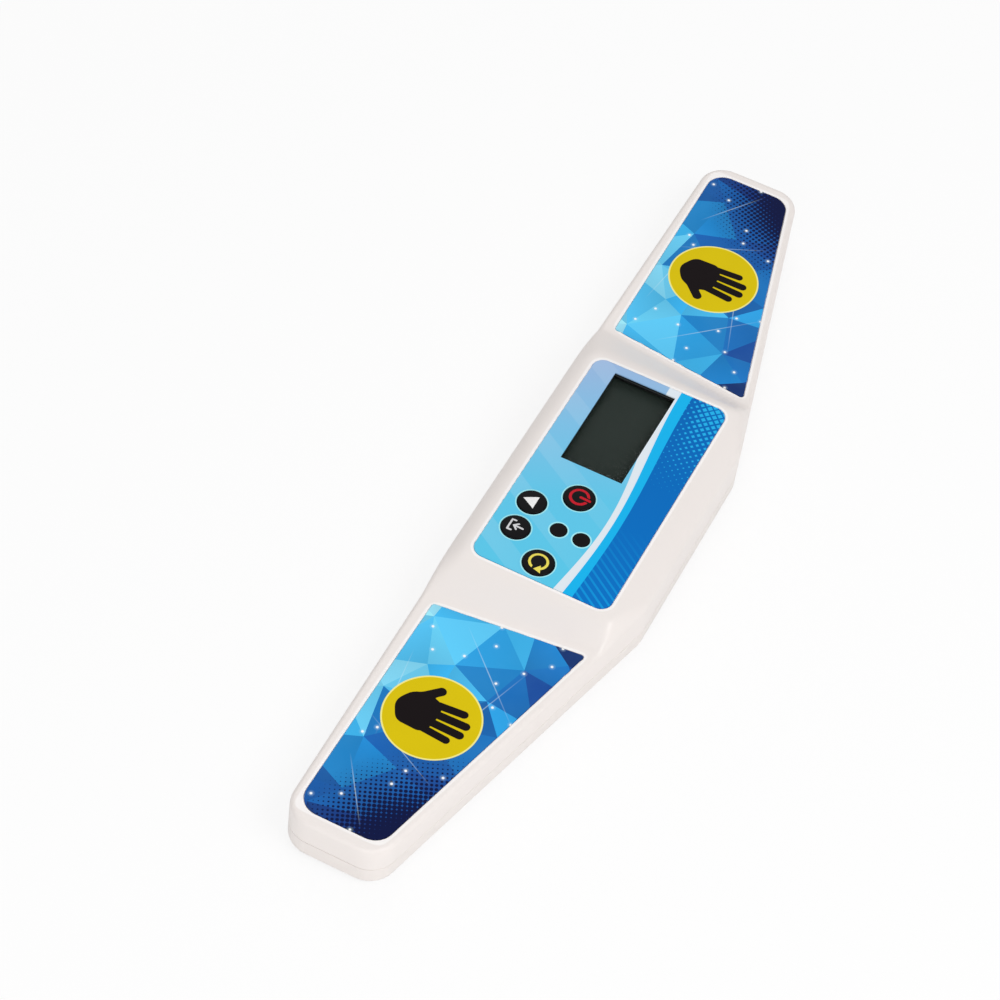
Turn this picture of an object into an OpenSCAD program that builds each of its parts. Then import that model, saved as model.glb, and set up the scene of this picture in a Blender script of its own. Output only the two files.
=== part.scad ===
// Speed cube timer: a long flat case with a raised middle, two touch wings and a control panel.
// +X runs along the case to the user's right, +Y away from the user and +Z up.
// The origin is on the table, under the middle of the case.

/* [Case] */
// Length from end to end
case_l = 274; // [268:1:290]
// Width across the middle
case_w = 56; // [55:0.5:60]
// Height of the raised middle above the underside
pod_h = 20; // [20:0.5:22]
// Height of the wings above the underside
wing_h = 14.5; // [14.5:0.25:15.5]
// Height of the parting line above the underside
split_h = 6; // [5:0.5:6.5]
// Thickness of the case walls
wall = 2; // [1.6:0.1:2.4]
// Half length of the straight stretch at the middle of the far side
bulge_half = 32; // [28:1:36]
// Half length of the straight stretch at the middle of the near side
kink_half = 45; // [40:1:55]
// Width of each squared-off tip
tip_w = 29; // [27:0.5:32]
// How far the near side draws in towards the tips
near_taper = 0.8; // [0.4:0.1:2]
// Corner radius of the tips
tip_r = 8; // [6:0.5:10]
// Corner radius where the sides change direction
side_r = 7; // [5:0.5:10]
// Rounding of the upper and lower edges
edge_r = 1.4; // [0.8:0.1:1.6]

/* [Raised middle] */
// Height from the plateau down to the crease of the far slope
crease_drop = 2.6; // [2:0.1:3]
// Rounding along the plateau's edge
plateau_r = 1.2; // [0.8:0.1:1.5]
// Rim of plateau left round the panel film
panel_rim = 2.4; // [2:0.1:3]
// Distance from the middle to the foot of each ramp on the far side
ramp_far = 51; // [50:0.5:52]
// Distance from the middle to the foot of each ramp on the near side
ramp_near = 57.5; // [56:0.5:58.5]

/* [Panel] */
// Length of the panel film
panel_l = 82; // [81:0.5:83]
// Width of the panel film
panel_w = 41.2; // [40.5:0.1:42]
// Corner radius of the panel film
panel_r = 3.5; // [2:0.5:5]
// Distance from the case's near side to the panel film
panel_near = 6.4; // [6:0.1:7]
// Thickness of the printed films
film_t = 0.4; // [0.3:0.05:0.6]
// Gap round a film in its recess
film_gap = 0.15; // [0.1:0.05:0.25]

/* [Display] */
// Length of the window
window_l = 36.5; // [34:0.5:38]
// Width of the window
window_w = 18.9; // [17:0.1:20]
// Distance from the panel's left edge to the window
window_in = 2.9; // [2.5:0.1:4]
// Distance from the panel's near edge to the window
window_up = 6.9; // [6:0.1:8]
// Thickness of the window lens
lens_t = 1; // [0.8:0.1:1.2]
// Thickness of the dark bezel that lines the window
bezel_t = 0.8; // [0.6:0.1:0.9]
// How far the lens reaches under the roof on each side
lens_lap = 0.8; // [0.6:0.1:1]
// How far the display cell reaches past the window on each side
cell_lap = 1; // [0.8:0.1:1.2]
// Thickness of the display cell
cell_t = 1.9; // [1.6:0.1:2]

/* [Buttons] */
// Radius of the power and reset buttons
big_r = 4.5; // [4:0.1:4.8]
// Radius of the mode and save buttons
small_r = 4.15; // [3.8:0.05:4.4]
// Running gap round each button
button_gap = 0.15; // [0.1:0.05:0.25]
// How far the buttons stand above the panel film
button_proud = 0.7; // [0.4:0.1:1]
// Travel of each button
button_travel = 0.5; // [0.3:0.05:0.6]
// Radius of each dark light window
lamp_r = 2.5; // [2:0.1:3]

/* [Wings] */
// Distance from the tip of the case to the pad film
pad_end = 4; // [3.5:0.1:5]
// Distance from the far side of the case to the pad film
pad_far = 2.9; // [2.5:0.1:3.5]
// Distance from the near side to the pad film, at the tip
pad_near_tip = 2.8; // [2.5:0.1:3.5]
// Distance from the near side to the pad film, at the ramp
pad_near_root = 4.4; // [3.5:0.1:5]
// Strip of case between the foot of the ramp and the pad film
pad_root_gap = 1.2; // [0.8:0.1:2]
// Corner radius of the pad film at the tip
pad_r = 5.5; // [4:0.5:7]
// Thickness of the touch electrodes
plate_t = 0.6; // [0.4:0.1:1]
// Margin from the pad film in to the electrode
plate_in = 5; // [4:0.5:7]

/* [Board] */
// Length of the circuit board
board_l = 78; // [77:0.5:79]
// Width of the circuit board
board_w = 38; // [37:0.5:39]
// Thickness of the circuit board
board_t = 1.2; // [1:0.1:1.6]
// Height of the tact switch bodies
switch_h = 2.8; // [2.5:0.1:3]
// Side of the tact switch bodies
switch_s = 6; // [5.5:0.1:6.2]
// Radius of the tact switch plungers
plunger_r = 1.6; // [1.4:0.1:1.8]
// Running gap round each plunger
plunger_gap = 0.1; // [0.1:0.02:0.15]

/* [Battery] */
// Radius of an AAA cell
aaa_r = 5.25; // [5:0.05:5.3]
// Length of an AAA cell, nipple included
aaa_l = 44.5; // [44:0.1:44.6]
// Space for the contacts and spring at the two ends of the cells
contact_space = 6.5; // [6:0.1:8]
// Thickness of the sliding door
door_t = 1.4; // [1.2:0.1:1.6]
// Running gap round the door
door_gap = 0.2; // [0.15:0.05:0.3]
// Reach of the door's side tongues
tongue = 1.2; // [1:0.1:1.5]
// Wire thickness of the battery springs
spring_wire = 0.6; // [0.5:0.05:0.7]

/* [Fixings and feet] */
// Radius of the shank of the case screws
screw_r = 1.25; // [1:0.05:1.4]
// Radius of the head of the case screws
head_r = 2.4; // [2.2:0.1:2.6]
// Wall round each screw hole
boss_wall = 1.6; // [1.4:0.1:1.8]
// How far the rubber feet stand below the underside
foot_proud = 1; // [0.8:0.1:1.5]
// Radius of the rubber feet
foot_r = 5; // [4:0.5:6]
// Depth of the recess for each foot
foot_sink = 0.6; // [0.4:0.1:0.8]
// Bore radius of the data socket, for a 2.5 mm plug
jack_r = 1.3; // [1.25:0.05:1.4]
// Bore length of the data socket
jack_bore = 11; // [10:0.5:12]

/* [Hidden] */
$fn = 48;

// Cuts run this far past a face, so that no skin is left
past = 1;
// Bodies that the parting plane cuts are drawn this far beyond it
past_split = 4;
// Facets on the rounded corners of the moulded outline
corner_fn = 32;
// Steps in a rounded edge
edge_steps = 3;

// Heights above the table
under_z = foot_proud;
split_z = under_z + split_h;
wing_z = under_z + wing_h;
pod_z = under_z + pod_h;
roof_z = pod_z - wall;
wing_roof_z = wing_z - wall;
crease_z = pod_z - crease_drop;
floor_z = under_z + wall;

// The outline of the case, anticlockwise from the right end of the far bulge
half_l = case_l / 2;
half_w = case_w / 2;
tip_near_y = near_taper - half_w;
tip_far_y = tip_near_y + tip_w;
case_pts = [
    [bulge_half, half_w],
    [-bulge_half, half_w],
    [-half_l, tip_far_y],
    [-half_l, tip_near_y],
    [-kink_half, -half_w],
    [kink_half, -half_w],
    [half_l, tip_near_y],
    [half_l, tip_far_y]
];
case_radii = [side_r, side_r, tip_r, tip_r, side_r, side_r, tip_r, tip_r];

function unit(v) = v / norm(v);
function left_of(v) = [-v[1], v[0]];

// Centre of the circle of radius r that touches both edges at corner i of an anticlockwise outline
function corner_centre(pts, i, r) =
    let (
        n = len(pts),
        a = left_of(unit(pts[i] - pts[(i + n - 1) % n])),
        b = left_of(unit(pts[(i + 1) % n] - pts[i])),
        m = (a + b) / 2
    )
    pts[i] + r * m / (m * m);

// Where the line through p along d meets the line through q along e
function meet(p, d, q, e) =
    p + d * ((q - p)[0] * e[1] - (q - p)[1] * e[0]) / (d[0] * e[1] - d[1] * e[0]);

// Height of the far side's slanted line at a distance x from the middle
far_slope = (half_w - tip_far_y) / (half_l - bulge_half);
function far_side_y(x) = half_w - far_slope * (x - bulge_half);
near_slope = near_taper / (half_l - kink_half);
function near_side_y(x) = -half_w + near_slope * max(x - kink_half, 0);

// The panel film and the plateau round it
panel_y0 = -half_w + panel_near;
panel_y1 = panel_y0 + panel_w;
panel_mid_y = (panel_y0 + panel_y1) / 2;
plateau_half = panel_l / 2 + panel_rim;

// The window, the buttons and the light windows, measured on the panel film
window_x = -panel_l / 2 + window_in + window_l / 2;
window_y = panel_y0 + window_up + window_w / 2;
power_at = [9.2, panel_y0 + 17.9];
mode_at = [17.2, panel_y0 + 7.2];
save_at = [27.4, panel_y0 + 7.2];
reset_at = [35.3, panel_y0 + 18];
lamps_at = [[22.2, panel_y0 + 17.8], [22.2, panel_y0 + 24.7]];
buttons = [
    [power_at, big_r],
    [mode_at, small_r],
    [save_at, small_r],
    [reset_at, big_r]
];

// The pad film on the right wing; the left one is its mirror image
pad_x1 = half_l - pad_end;
pad_dir = unit([1, -far_slope]);
pad_top = [bulge_half, half_w] - pad_far * left_of(pad_dir);
pad_low = [half_l, near_side_y(half_l) + pad_near_tip];
pad_low_root = [ramp_near, near_side_y(ramp_near) + pad_near_root];
ramp_dir = unit([ramp_far - ramp_near, 2 * half_w]);
root_at = [(ramp_far + ramp_near) / 2 + pad_root_gap, 0];
pad_pts = [
    meet(pad_low, pad_low_root - pad_low, root_at, ramp_dir),
    meet(pad_low, pad_low_root - pad_low, [pad_x1, 0], [0, 1]),
    meet(pad_top, pad_dir, [pad_x1, 0], [0, 1]),
    meet(pad_top, pad_dir, root_at, ramp_dir)
];
pad_radii = [0.8, pad_r, pad_r, 0.8];

// The stack inside, from the roof down
lens_z = roof_z - 0.1;
cell_z = lens_z - lens_t - 0.1;
zebra_h = 1.4;
board_z = cell_z - cell_t - zebra_h;
flange_t = 0.7;
flange_reach = 0.45;
flange_z = roof_z - 0.1 - flange_t;
board_edge = 3.5;
board_boss_r = 2.4;
board_screw_r = 0.9;
board_screw_reach = 3;
holder_wall = 1;
bezel_gap = 0.1;
bezel_reach = bezel_t + bezel_gap;
lens_reach = bezel_reach + lens_lap;
holder_l = window_l + 2 * (lens_reach + holder_wall);
holder_w = window_w + 2 * (lens_reach + holder_wall);
board_boss_at = [
    [board_edge - board_l / 2, panel_mid_y + board_w / 2 - board_edge],
    [window_x + holder_l / 2 + board_boss_r + 1.6, panel_mid_y - board_w / 2 + board_edge],
    [board_l / 2 - board_edge, panel_mid_y - board_w / 2 + board_edge],
    [board_l / 2 - board_edge, panel_mid_y + board_w / 2 - board_edge]
];

// The battery bay and its door
cell_pitch = 2 * aaa_r + 0.5;
bay_l = aaa_l + contact_space;
bay_w = cell_pitch + 2 * aaa_r + 0.8;
bay_wall = 1.2;
door_roof = 1;
cell_axis_z = under_z + door_t + door_gap + aaa_r;
bay_top_z = board_z - board_t - 0.4;
door_lap = 2.6;
door_half = bay_l / 2 + door_lap;
door_far_y = bay_w / 2 + door_lap;
tongue_t = 0.6;
land_z = under_z + door_t + door_gap + door_roof;
contact_t = 0.4;
contact_x = bay_l / 2 - 0.3 - contact_t;
cell_shift = contact_x - aaa_l / 2 - 0.1;

// The case screws: two near each tip and two beside the board on each side
tip_screw_x = half_l - pad_end - 6;
tip_screw_y = (tip_near_y + tip_far_y) / 2;
root_screw_x = board_l / 2 + 7;
case_screw_at = [
    [tip_screw_x, tip_screw_y],
    [-tip_screw_x, tip_screw_y],
    [root_screw_x, far_side_y(root_screw_x) - wall - 4.5],
    [-root_screw_x, far_side_y(root_screw_x) - wall - 4.5],
    [root_screw_x, -half_w + wall + 4.5],
    [-root_screw_x, -half_w + wall + 4.5]
];
boss_r = screw_r + boss_wall;
head_seat_z = under_z + 2.4;
boss_low_z = head_seat_z + 1.6;
screw_reach = 6;

// The feet: near the tips, at the far side of each wing and at the far side of the middle
tip_foot_x = tip_screw_x - 13;
wing_foot_x = tip_foot_x - 14;
root_foot_x = root_screw_x + 10;
foot_edge = foot_r + 4;
foot_at = [for (s = [-1, 1]) each [
    [s * tip_foot_x, near_side_y(tip_foot_x) + foot_edge],
    [s * wing_foot_x, far_side_y(wing_foot_x) - foot_edge],
    [s * root_foot_x, far_side_y(root_foot_x) - foot_edge]
]];

// The data socket in the near wall, left of the battery bay
jack_x = -30;
jack_y = -half_w + 0.4;
jack_w = 6;
jack_l = 12;
jack_nose_r = 2.6;
jack_z = board_z - board_t - 3;

// Points round a corner-rounded convex outline, drawn inset from its edges
module rounded_outline(pts, radii, inset = 0) {
    hull() {
        for (i = [0:len(pts) - 1]) {
            translate(corner_centre(pts, i, radii[i]))
                circle(r = max(radii[i] - inset, 0.2), $fn = corner_fn);
        }
    }
}

// One corner of a moulded body: nested posts whose tops follow a quarter round
module corner_post(r, z0, z1, top_r, bottom_r) {
    for (k = [0:edge_steps]) {
        turn = 90 * k / edge_steps;
        top_in = top_r * (1 - cos(turn));
        bottom_in = bottom_r * (1 - cos(turn));
        low = z0 + bottom_r * (1 - sin(turn));
        high = z1 - top_r * (1 - sin(turn));
        translate([0, 0, low])
            cylinder(r = r - max(top_in, bottom_in), h = high - low, $fn = corner_fn);
    }
}

// The case outline as a solid with rounded edges, one convex body
module case_body(inset, z0, z1, top_r, bottom_r) {
    hull() {
        for (i = [0:len(case_pts) - 1]) {
            translate(corner_centre(case_pts, i, case_radii[i]))
                corner_post(case_radii[i] - inset, z0, z1, top_r, bottom_r);
        }
    }
}

// The raised middle as one convex body: plateau, ramps, far slope and the walls under them
module pod_body(inset, z0) {
    // The walls of the pod stand this much inside the walls of the wings
    shy = 0.05;
    plateau_corner_r = 5;
    foot_post_r = 3;
    crease_r = side_r - inset - shy;
    hull() {
        for (s = [-1, 1]) {
            // Plateau corners
            for (y = [panel_y0 - panel_rim + plateau_corner_r, panel_y1 + panel_rim - plateau_corner_r]) {
                translate([s * (plateau_half - plateau_corner_r), y])
                    corner_post(plateau_corner_r - inset / 2, z0, pod_z - inset, plateau_r, 0);
            }
            // Corners of the crease on the far and the near side
            mirror([s < 0 ? 1 : 0, 0]) {
                translate(corner_centre(case_pts, 0, side_r))
                    corner_post(crease_r, z0, crease_z - inset, 0.6, 0);
                translate(corner_centre(case_pts, 5, side_r))
                    corner_post(crease_r, z0, crease_z - inset, 0.6, 0);
                // Foot of the ramp
                translate([ramp_far - foot_post_r, far_side_y(ramp_far - foot_post_r) - foot_post_r - 0.2])
                    corner_post(foot_post_r - inset - shy, z0, wing_z - inset, 0, 0);
                translate([ramp_near - foot_post_r, near_side_y(ramp_near) + foot_post_r + 0.1])
                    corner_post(foot_post_r - inset - shy, z0, wing_z - inset, 0, 0);
            }
        }
    }
}

// Everything above the given height, and everything below it
module above(z) {
    intersection() {
        children();
        translate([-case_l, -case_w, z])
            cube([2 * case_l, 2 * case_w, 2 * pod_z]);
    }
}

module pad_film_shape(gap) {
    linear_extrude(height = film_t + gap)
        rounded_outline(pad_pts, pad_radii, gap > 0 ? -film_gap : 0);
}

module upper_shell() {
    color("whitesmoke")
        difference() {
            union() {
                above(split_z) {
                    case_body(0, split_z - past_split, wing_z, edge_r, 0);
                    pod_body(0, split_z - past_split);
                }
                for (p = case_screw_at) {
                    translate([p[0], p[1], boss_low_z])
                        cylinder(r = boss_r, h = split_z + 0.5 - boss_low_z);
                }
            }
            // The hollow inside, less the posts that hang from the roof
            difference() {
                union() {
                    case_body(wall, split_z - past_split - past, wing_roof_z, 0.6, 0);
                    pod_body(wall, split_z - past_split - past);
                }
                for (p = case_screw_at) {
                    translate([p[0], p[1], boss_low_z])
                        cylinder(r = boss_r, h = pod_z);
                }
                for (p = board_boss_at) {
                    translate([p[0], p[1], board_z])
                        cylinder(r = board_boss_r, h = pod_z);
                }
            }
            panel_recess();
            for (s = [0, 1]) {
                mirror([s, 0, 0])
                    translate([0, 0, wing_z - film_t])
                    pad_film_shape(past);
            }
            window_cut();
            for (b = buttons) {
                translate([b[0][0], b[0][1], roof_z - past])
                    cylinder(r = b[1] + button_gap, h = wall + 2 * past);
            }
            for (p = lamps_at) {
                translate([p[0], p[1], roof_z - past])
                    cylinder(r = lamp_r, h = wall + 2 * past);
            }
            jack_hole();
            for (p = case_screw_at) {
                translate([p[0], p[1], boss_low_z - past])
                    cylinder(r = screw_r - 0.15, h = screw_reach + past);
            }
            for (p = board_boss_at) {
                translate([p[0], p[1], board_z - past])
                    cylinder(r = board_screw_r - 0.1, h = board_screw_reach + 0.5 + past);
            }
        }
}

module panel_recess() {
    translate([0, 0, pod_z - film_t])
        linear_extrude(height = film_t + past)
        panel_outline(film_gap);
}

module panel_outline(gap) {
    translate([0, panel_mid_y])
        hull() {
            for (x = [-1, 1], y = [-1, 1]) {
                translate([x * (panel_l / 2 - panel_r), y * (panel_w / 2 - panel_r)])
                    circle(r = panel_r + gap, $fn = corner_fn);
            }
        }
}

module window_cut() {
    translate([window_x, window_y, 0])
        box_hole(window_l + 2 * bezel_reach, window_w + 2 * bezel_reach, roof_z - past);
}

module jack_hole() {
    translate([jack_x, -half_w - past, jack_z])
        rotate([-90, 0, 0])
        cylinder(r = jack_nose_r + 0.2, h = wall + 2 * past);
}

module lower_shell() {
    color("gainsboro") {
        difference() {
            union() {
                difference() {
                    intersection() {
                        case_body(0, under_z, split_z + past_split, 0, edge_r);
                        translate([-case_l, -case_w, 0])
                            cube([2 * case_l, 2 * case_w, split_z]);
                    }
                    case_body(wall, floor_z, split_z + past_split + past, 0, 0.6);
                }
                locating_lip();
                battery_bay();
                for (p = case_screw_at) {
                    translate([p[0], p[1], under_z + 0.2])
                        cylinder(r = boss_r + 0.9, h = boss_low_z - under_z - 0.2);
                }
                for (s = [-1, 1], x = [ramp_near + 8, ramp_near + 28]) {
                    translate([s * x - 0.6, -tip_w / 2 - 4, floor_z - 0.2])
                        cube([1.2, tip_w - 4, 2.4]);
                }
            }
            for (p = case_screw_at) {
                screw_well(p);
            }
            for (p = foot_at) {
                translate([p[0], p[1], under_z - past])
                    cylinder(r = foot_r + 0.1, h = foot_sink + past);
            }
            door_track();
        }
    }
}

// Thin wall inside the joint that keeps the two halves in line
module locating_lip() {
    lip_t = 1;
    lip_h = 1.2;
    difference() {
        case_body(wall + 0.1, split_z - 2, split_z + lip_h, 0, 0);
        case_body(wall + 0.1 + lip_t, split_z - 3, split_z + lip_h + past, 0, 0);
        translate([jack_x - jack_w / 2 - 1, -half_w - past, split_z])
            cube([jack_w + 2, 8, lip_h + past]);
    }
}

// Walls of the battery bay and the land that the door slides under
module battery_bay() {
    translate([-door_half - tongue - 1.5, -half_w + wall - 0.2, under_z + 0.4])
        cube([2 * (door_half + tongue + 1.5), half_w - wall + door_far_y + 2, land_z - under_z - 0.4]);
    difference() {
        translate([-bay_l / 2 - bay_wall, -bay_w / 2 - bay_wall, floor_z])
            cube([bay_l + 2 * bay_wall, bay_w + 2 * bay_wall, bay_top_z - floor_z]);
        translate([-bay_l / 2, -bay_w / 2, floor_z - past])
            cube([bay_l, bay_w, bay_top_z - floor_z + 2 * past]);
    }
}

// Opening of the bay and the T-shaped track for the door, open at the near side
module door_track() {
    translate([-bay_l / 2, -bay_w / 2, under_z - past])
        cube([bay_l, bay_w, land_z - under_z + 2 * past]);
    translate([-door_half - door_gap, -half_w - past, under_z - past])
        cube([2 * (door_half + door_gap), half_w + past + door_far_y + door_gap, past + door_t + door_gap]);
    translate([-door_half - tongue - door_gap, -half_w - past, under_z + door_t - tongue_t - door_gap])
        cube([2 * (door_half + tongue + door_gap), half_w + past + door_far_y + door_gap, tongue_t + 2 * door_gap]);
}

// Counterbore and clearance hole for one case screw
module screw_well(p) {
    translate([p[0], p[1], under_z - past])
        cylinder(r = head_r + 0.2, h = head_seat_z - under_z + past);
    translate([p[0], p[1], under_z])
        cylinder(r = screw_r + 0.15, h = 2 * split_h);
}

module battery_door() {
    near = -half_w + edge_r / 2;
    color("gainsboro")
        difference() {
            union() {
                translate([-door_half, near, under_z])
                    cube([2 * door_half, door_far_y - near, door_t]);
                translate([-door_half - tongue, near + 3, under_z + door_t - tongue_t])
                    cube([2 * (door_half + tongue), door_far_y - near - 3, tongue_t]);
            }
            // Grooves that the thumb pushes on
            for (k = [0:4]) {
                translate([-9, near + 3 + 2 * k, under_z - past])
                    cube([18, 0.8, past + 0.4]);
            }
        }
}

module hand_pad() {
    translate([0, 0, wing_z - film_t])
        linear_extrude(height = film_t)
        rounded_outline(pad_pts, pad_radii);
}

module left_hand_pad() {
    color("dodgerblue")
        mirror([1, 0, 0])
        hand_pad();
}

module right_hand_pad() {
    color("dodgerblue")
        hand_pad();
}

// Metal electrode under the roof of a wing, stopping short of the screw post at the tip
module touch_plate() {
    tip_clear = tip_screw_x - boss_r - 0.8;
    translate([0, 0, wing_roof_z - plate_t])
        linear_extrude(height = plate_t)
        intersection() {
            rounded_outline(pad_pts, [for (p = pad_pts) plate_in + 1], plate_in);
            translate([0, -case_w])
                square([tip_clear, 2 * case_w]);
        }
}

module left_touch_plate() {
    color("silver")
        mirror([1, 0, 0])
        touch_plate();
}

module right_touch_plate() {
    color("silver")
        touch_plate();
}

module control_panel() {
    color("deepskyblue")
        translate([0, 0, pod_z - film_t])
        difference() {
            linear_extrude(height = film_t)
                panel_outline(0);
            translate([window_x, window_y, 0])
                box_hole(window_l, window_w, -past);
            for (b = buttons) {
                translate([b[0][0], b[0][1], -past])
                    cylinder(r = b[1] + button_gap, h = film_t + 2 * past);
            }
            for (p = lamps_at) {
                translate([p[0], p[1], -past])
                    cylinder(r = lamp_r, h = film_t + 2 * past);
            }
        }
}

// Dark frame that stands on the lens and lines the window up to the panel film
module window_bezel() {
    bezel_h = pod_z - film_t - roof_z;
    color("black")
        translate([window_x, window_y, roof_z])
        difference() {
            translate([-window_l / 2 - bezel_t, -window_w / 2 - bezel_t, 0])
                cube([window_l + 2 * bezel_t, window_w + 2 * bezel_t, bezel_h]);
            box_hole(window_l, window_w, -past);
        }
}

module window_lens() {
    color("lightcyan")
        translate([window_x, window_y, lens_z - lens_t / 2 + 0.05])
        cube([window_l + 2 * lens_reach, window_w + 2 * lens_reach, lens_t + 0.1], center = true);
}

module display_cell() {
    color("darkslategray")
        translate([window_x, window_y, cell_z - cell_t / 2])
        cube([window_l + 2 * cell_lap, window_w + 2 * cell_lap, cell_t], center = true);
}

// Frame that holds the display cell against the roof and stands on the board
module display_holder() {
    room = 0.1;
    color("white")
        translate([window_x, window_y, board_z])
        difference() {
            translate([-holder_l / 2, -holder_w / 2, 0])
                cube([holder_l, holder_w, roof_z - board_z]);
            // Steps for the lens and for the cell, and the opening for the strips
            box_hole(window_l + 2 * (lens_reach + room), window_w + 2 * (lens_reach + room), cell_z - board_z);
            box_hole(window_l + 2 * (cell_lap + room), window_w + 2 * (cell_lap + room), cell_z - cell_t - board_z);
            box_hole(window_l + 0.8, window_w + 0.8, -past);
        }
}

module box_hole(l, w, z) {
    translate([-l / 2, -w / 2, z])
        cube([l, w, pod_z]);
}

// Two conductive rubber strips between the board and the display cell
module zebra_strips() {
    strip_w = 1.6;
    color("dimgray")
        for (s = [-1, 1]) {
            translate([window_x, window_y + s * (window_w - strip_w) / 2, board_z + zebra_h / 2])
                cube([window_l, strip_w, zebra_h], center = true);
        }
}

module main_board() {
    color("seagreen")
        difference() {
            translate([-board_l / 2, panel_mid_y - board_w / 2, board_z - board_t])
                cube([board_l, board_w, board_t]);
            for (p = board_boss_at) {
                translate([p[0], p[1], board_z - board_t - past])
                    cylinder(r = board_screw_r + 0.15, h = board_t + 2 * past);
            }
        }
}

// Bare chip under a drop of black resin
module timer_chip() {
    drop_h = 1;
    drop_ball = 6;
    color("black")
        translate([window_x, window_y, board_z])
        rotate_extrude()
        intersection() {
            square([drop_ball, drop_h]);
            translate([0, drop_h - drop_ball])
                circle(r = drop_ball);
        }
}

module quartz_crystal() {
    can_r = 0.6;
    can_l = 5;
    color("silver")
        translate([window_x + window_l / 4, window_y, board_z + can_r])
        rotate([0, 90, 0])
        cylinder(r = can_r, h = can_l);
}

module tact_switches() {
    color("dimgray")
        for (b = buttons) {
            translate([b[0][0], b[0][1], board_z])
                difference() {
                    translate([-switch_s / 2, -switch_s / 2, 0])
                        cube([switch_s, switch_s, switch_h]);
                    translate([0, 0, 0.6])
                        cylinder(r = plunger_r + plunger_gap, h = switch_h);
                }
        }
}

// Plunger of a tact switch, with room under it for the travel
module plunger(at) {
    color("black")
        translate([at[0], at[1], board_z + 0.6 + button_travel + 0.1])
        cylinder(r = plunger_r, h = flange_z - board_z - 0.7 - button_travel);
}

module power_plunger() {
    plunger(power_at);
}

module mode_plunger() {
    plunger(mode_at);
}

module save_plunger() {
    plunger(save_at);
}

module reset_plunger() {
    plunger(reset_at);
}

// Domed key with a flange that keeps it under the roof
module key(at, r) {
    dome = 0.5;
    ball = (r * r + dome * dome) / (2 * dome);
    top = pod_z + button_proud - flange_z;
    color("black")
        translate([at[0], at[1], flange_z])
        rotate_extrude() {
            square([r + flange_reach, flange_t]);
            square([r, top - dome]);
            intersection() {
                translate([0, top - ball])
                    circle(r = ball, $fn = 200);
                square([r, top]);
            }
        }
}

module power_button() {
    key(power_at, big_r);
}

module mode_button() {
    key(mode_at, small_r);
}

module save_button() {
    key(save_at, small_r);
}

module reset_button() {
    key(reset_at, big_r);
}

// Dark windows over the two indicator lamps, flush with the panel film
module light_windows() {
    color("black")
        for (p = lamps_at) {
            translate([p[0], p[1], roof_z])
                cylinder(r = lamp_r - 0.05, h = wall + 0.1);
            translate([p[0], p[1], roof_z - 0.8])
                cylinder(r = lamp_r + 0.6, h = 0.8);
        }
}

module status_leds() {
    led_r = 1.5;
    color("red")
        for (p = lamps_at) {
            translate([p[0], p[1], board_z])
                cylinder(r = led_r, h = 1.2);
            translate([p[0], p[1], board_z + 1.2])
                cylinder(r = led_r - 0.3, h = roof_z - 0.8 - board_z - 1.3);
        }
}

// Socket with a round nose in the near wall and a square body under the board
module data_socket() {
    color("black")
        difference() {
            union() {
                translate([jack_x, jack_y, jack_z])
                    rotate([-90, 0, 0])
                    cylinder(r = jack_nose_r, h = 4);
                translate([jack_x - jack_w / 2, jack_y + 3, jack_z - 2.8])
                    cube([jack_w, jack_l - 3, board_z - board_t - jack_z + 2.8]);
            }
            translate([jack_x, jack_y - past, jack_z])
                rotate([-90, 0, 0])
                cylinder(r = jack_r, h = jack_bore + past);
        }
}

// Two AAA cells, the second turned end for end
module battery_cells() {
    nipple_r = 1.9;
    nipple_l = 1;
    color("goldenrod")
        for (s = [-1, 1]) {
            translate([s * cell_shift, s * cell_pitch / 2, cell_axis_z])
                rotate([0, s * 90, 0])
                rotate_extrude() {
                    translate([0, -aaa_l / 2])
                        square([aaa_r, aaa_l - nipple_l]);
                    translate([0, -aaa_l / 2])
                        square([nipple_r, aaa_l]);
                }
        }
}

// Tube swept along points: rings of points square to the path, joined by faces
function ring(p, along, side, r, n) =
    let (up = cross(along, side) / norm(cross(along, side)))
    [for (k = [0:n - 1]) p + r * (cos(360 * k / n) * side + sin(360 * k / n) * up)];
function tangent(path, i) =
    let (a = path[max(i - 1, 0)], b = path[min(i + 1, len(path) - 1)])
    (b - a) / norm(b - a);

module swept_tube(path, side, r, n) {
    m = len(path);
    points = [for (i = [0:m - 1])
        let (
            t = tangent(path, i),
            raw = side - (side * t) * t
        )
        each ring(path[i], t, raw / norm(raw), r, n)];
    walls = [for (i = [0:m - 2], k = [0:n - 1])
        let (
            a = i * n + k,
            b = i * n + (k + 1) % n
        )
        each [[a, b, b + n], [a, b + n, a + n]]];
    first = [for (k = [1:n - 2]) [0, k + 1, k]];
    last = [for (k = [1:n - 2]) [(m - 1) * n, (m - 1) * n + k, (m - 1) * n + k + 1]];
    polyhedron(points = points, faces = concat(walls, first, last), convexity = 6);
}

// Conical coil spring that presses on the flat end of each cell
spring_turns = 4;
spring_steps = 16;
spring_big = aaa_r - 1.2;
spring_small = aaa_r - 2.6;
spring_l = 2 * contact_x - aaa_l - 0.3;
spring_path = [for (i = [0:spring_turns * spring_steps])
    let (
        part = i / (spring_turns * spring_steps),
        r = spring_big + (spring_small - spring_big) * part,
        turn = 360 * i / spring_steps
    )
    [spring_wire / 2 + (spring_l - spring_wire) * part, r * cos(turn), r * sin(turn)]];

module battery_springs() {
    color("silver")
        for (s = [0, 180]) {
            rotate([0, 0, s])
                translate([-contact_x, cell_pitch / 2, cell_axis_z])
                swept_tube(spring_path, [1, 0, 0], spring_wire / 2, 6);
        }
}

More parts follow.
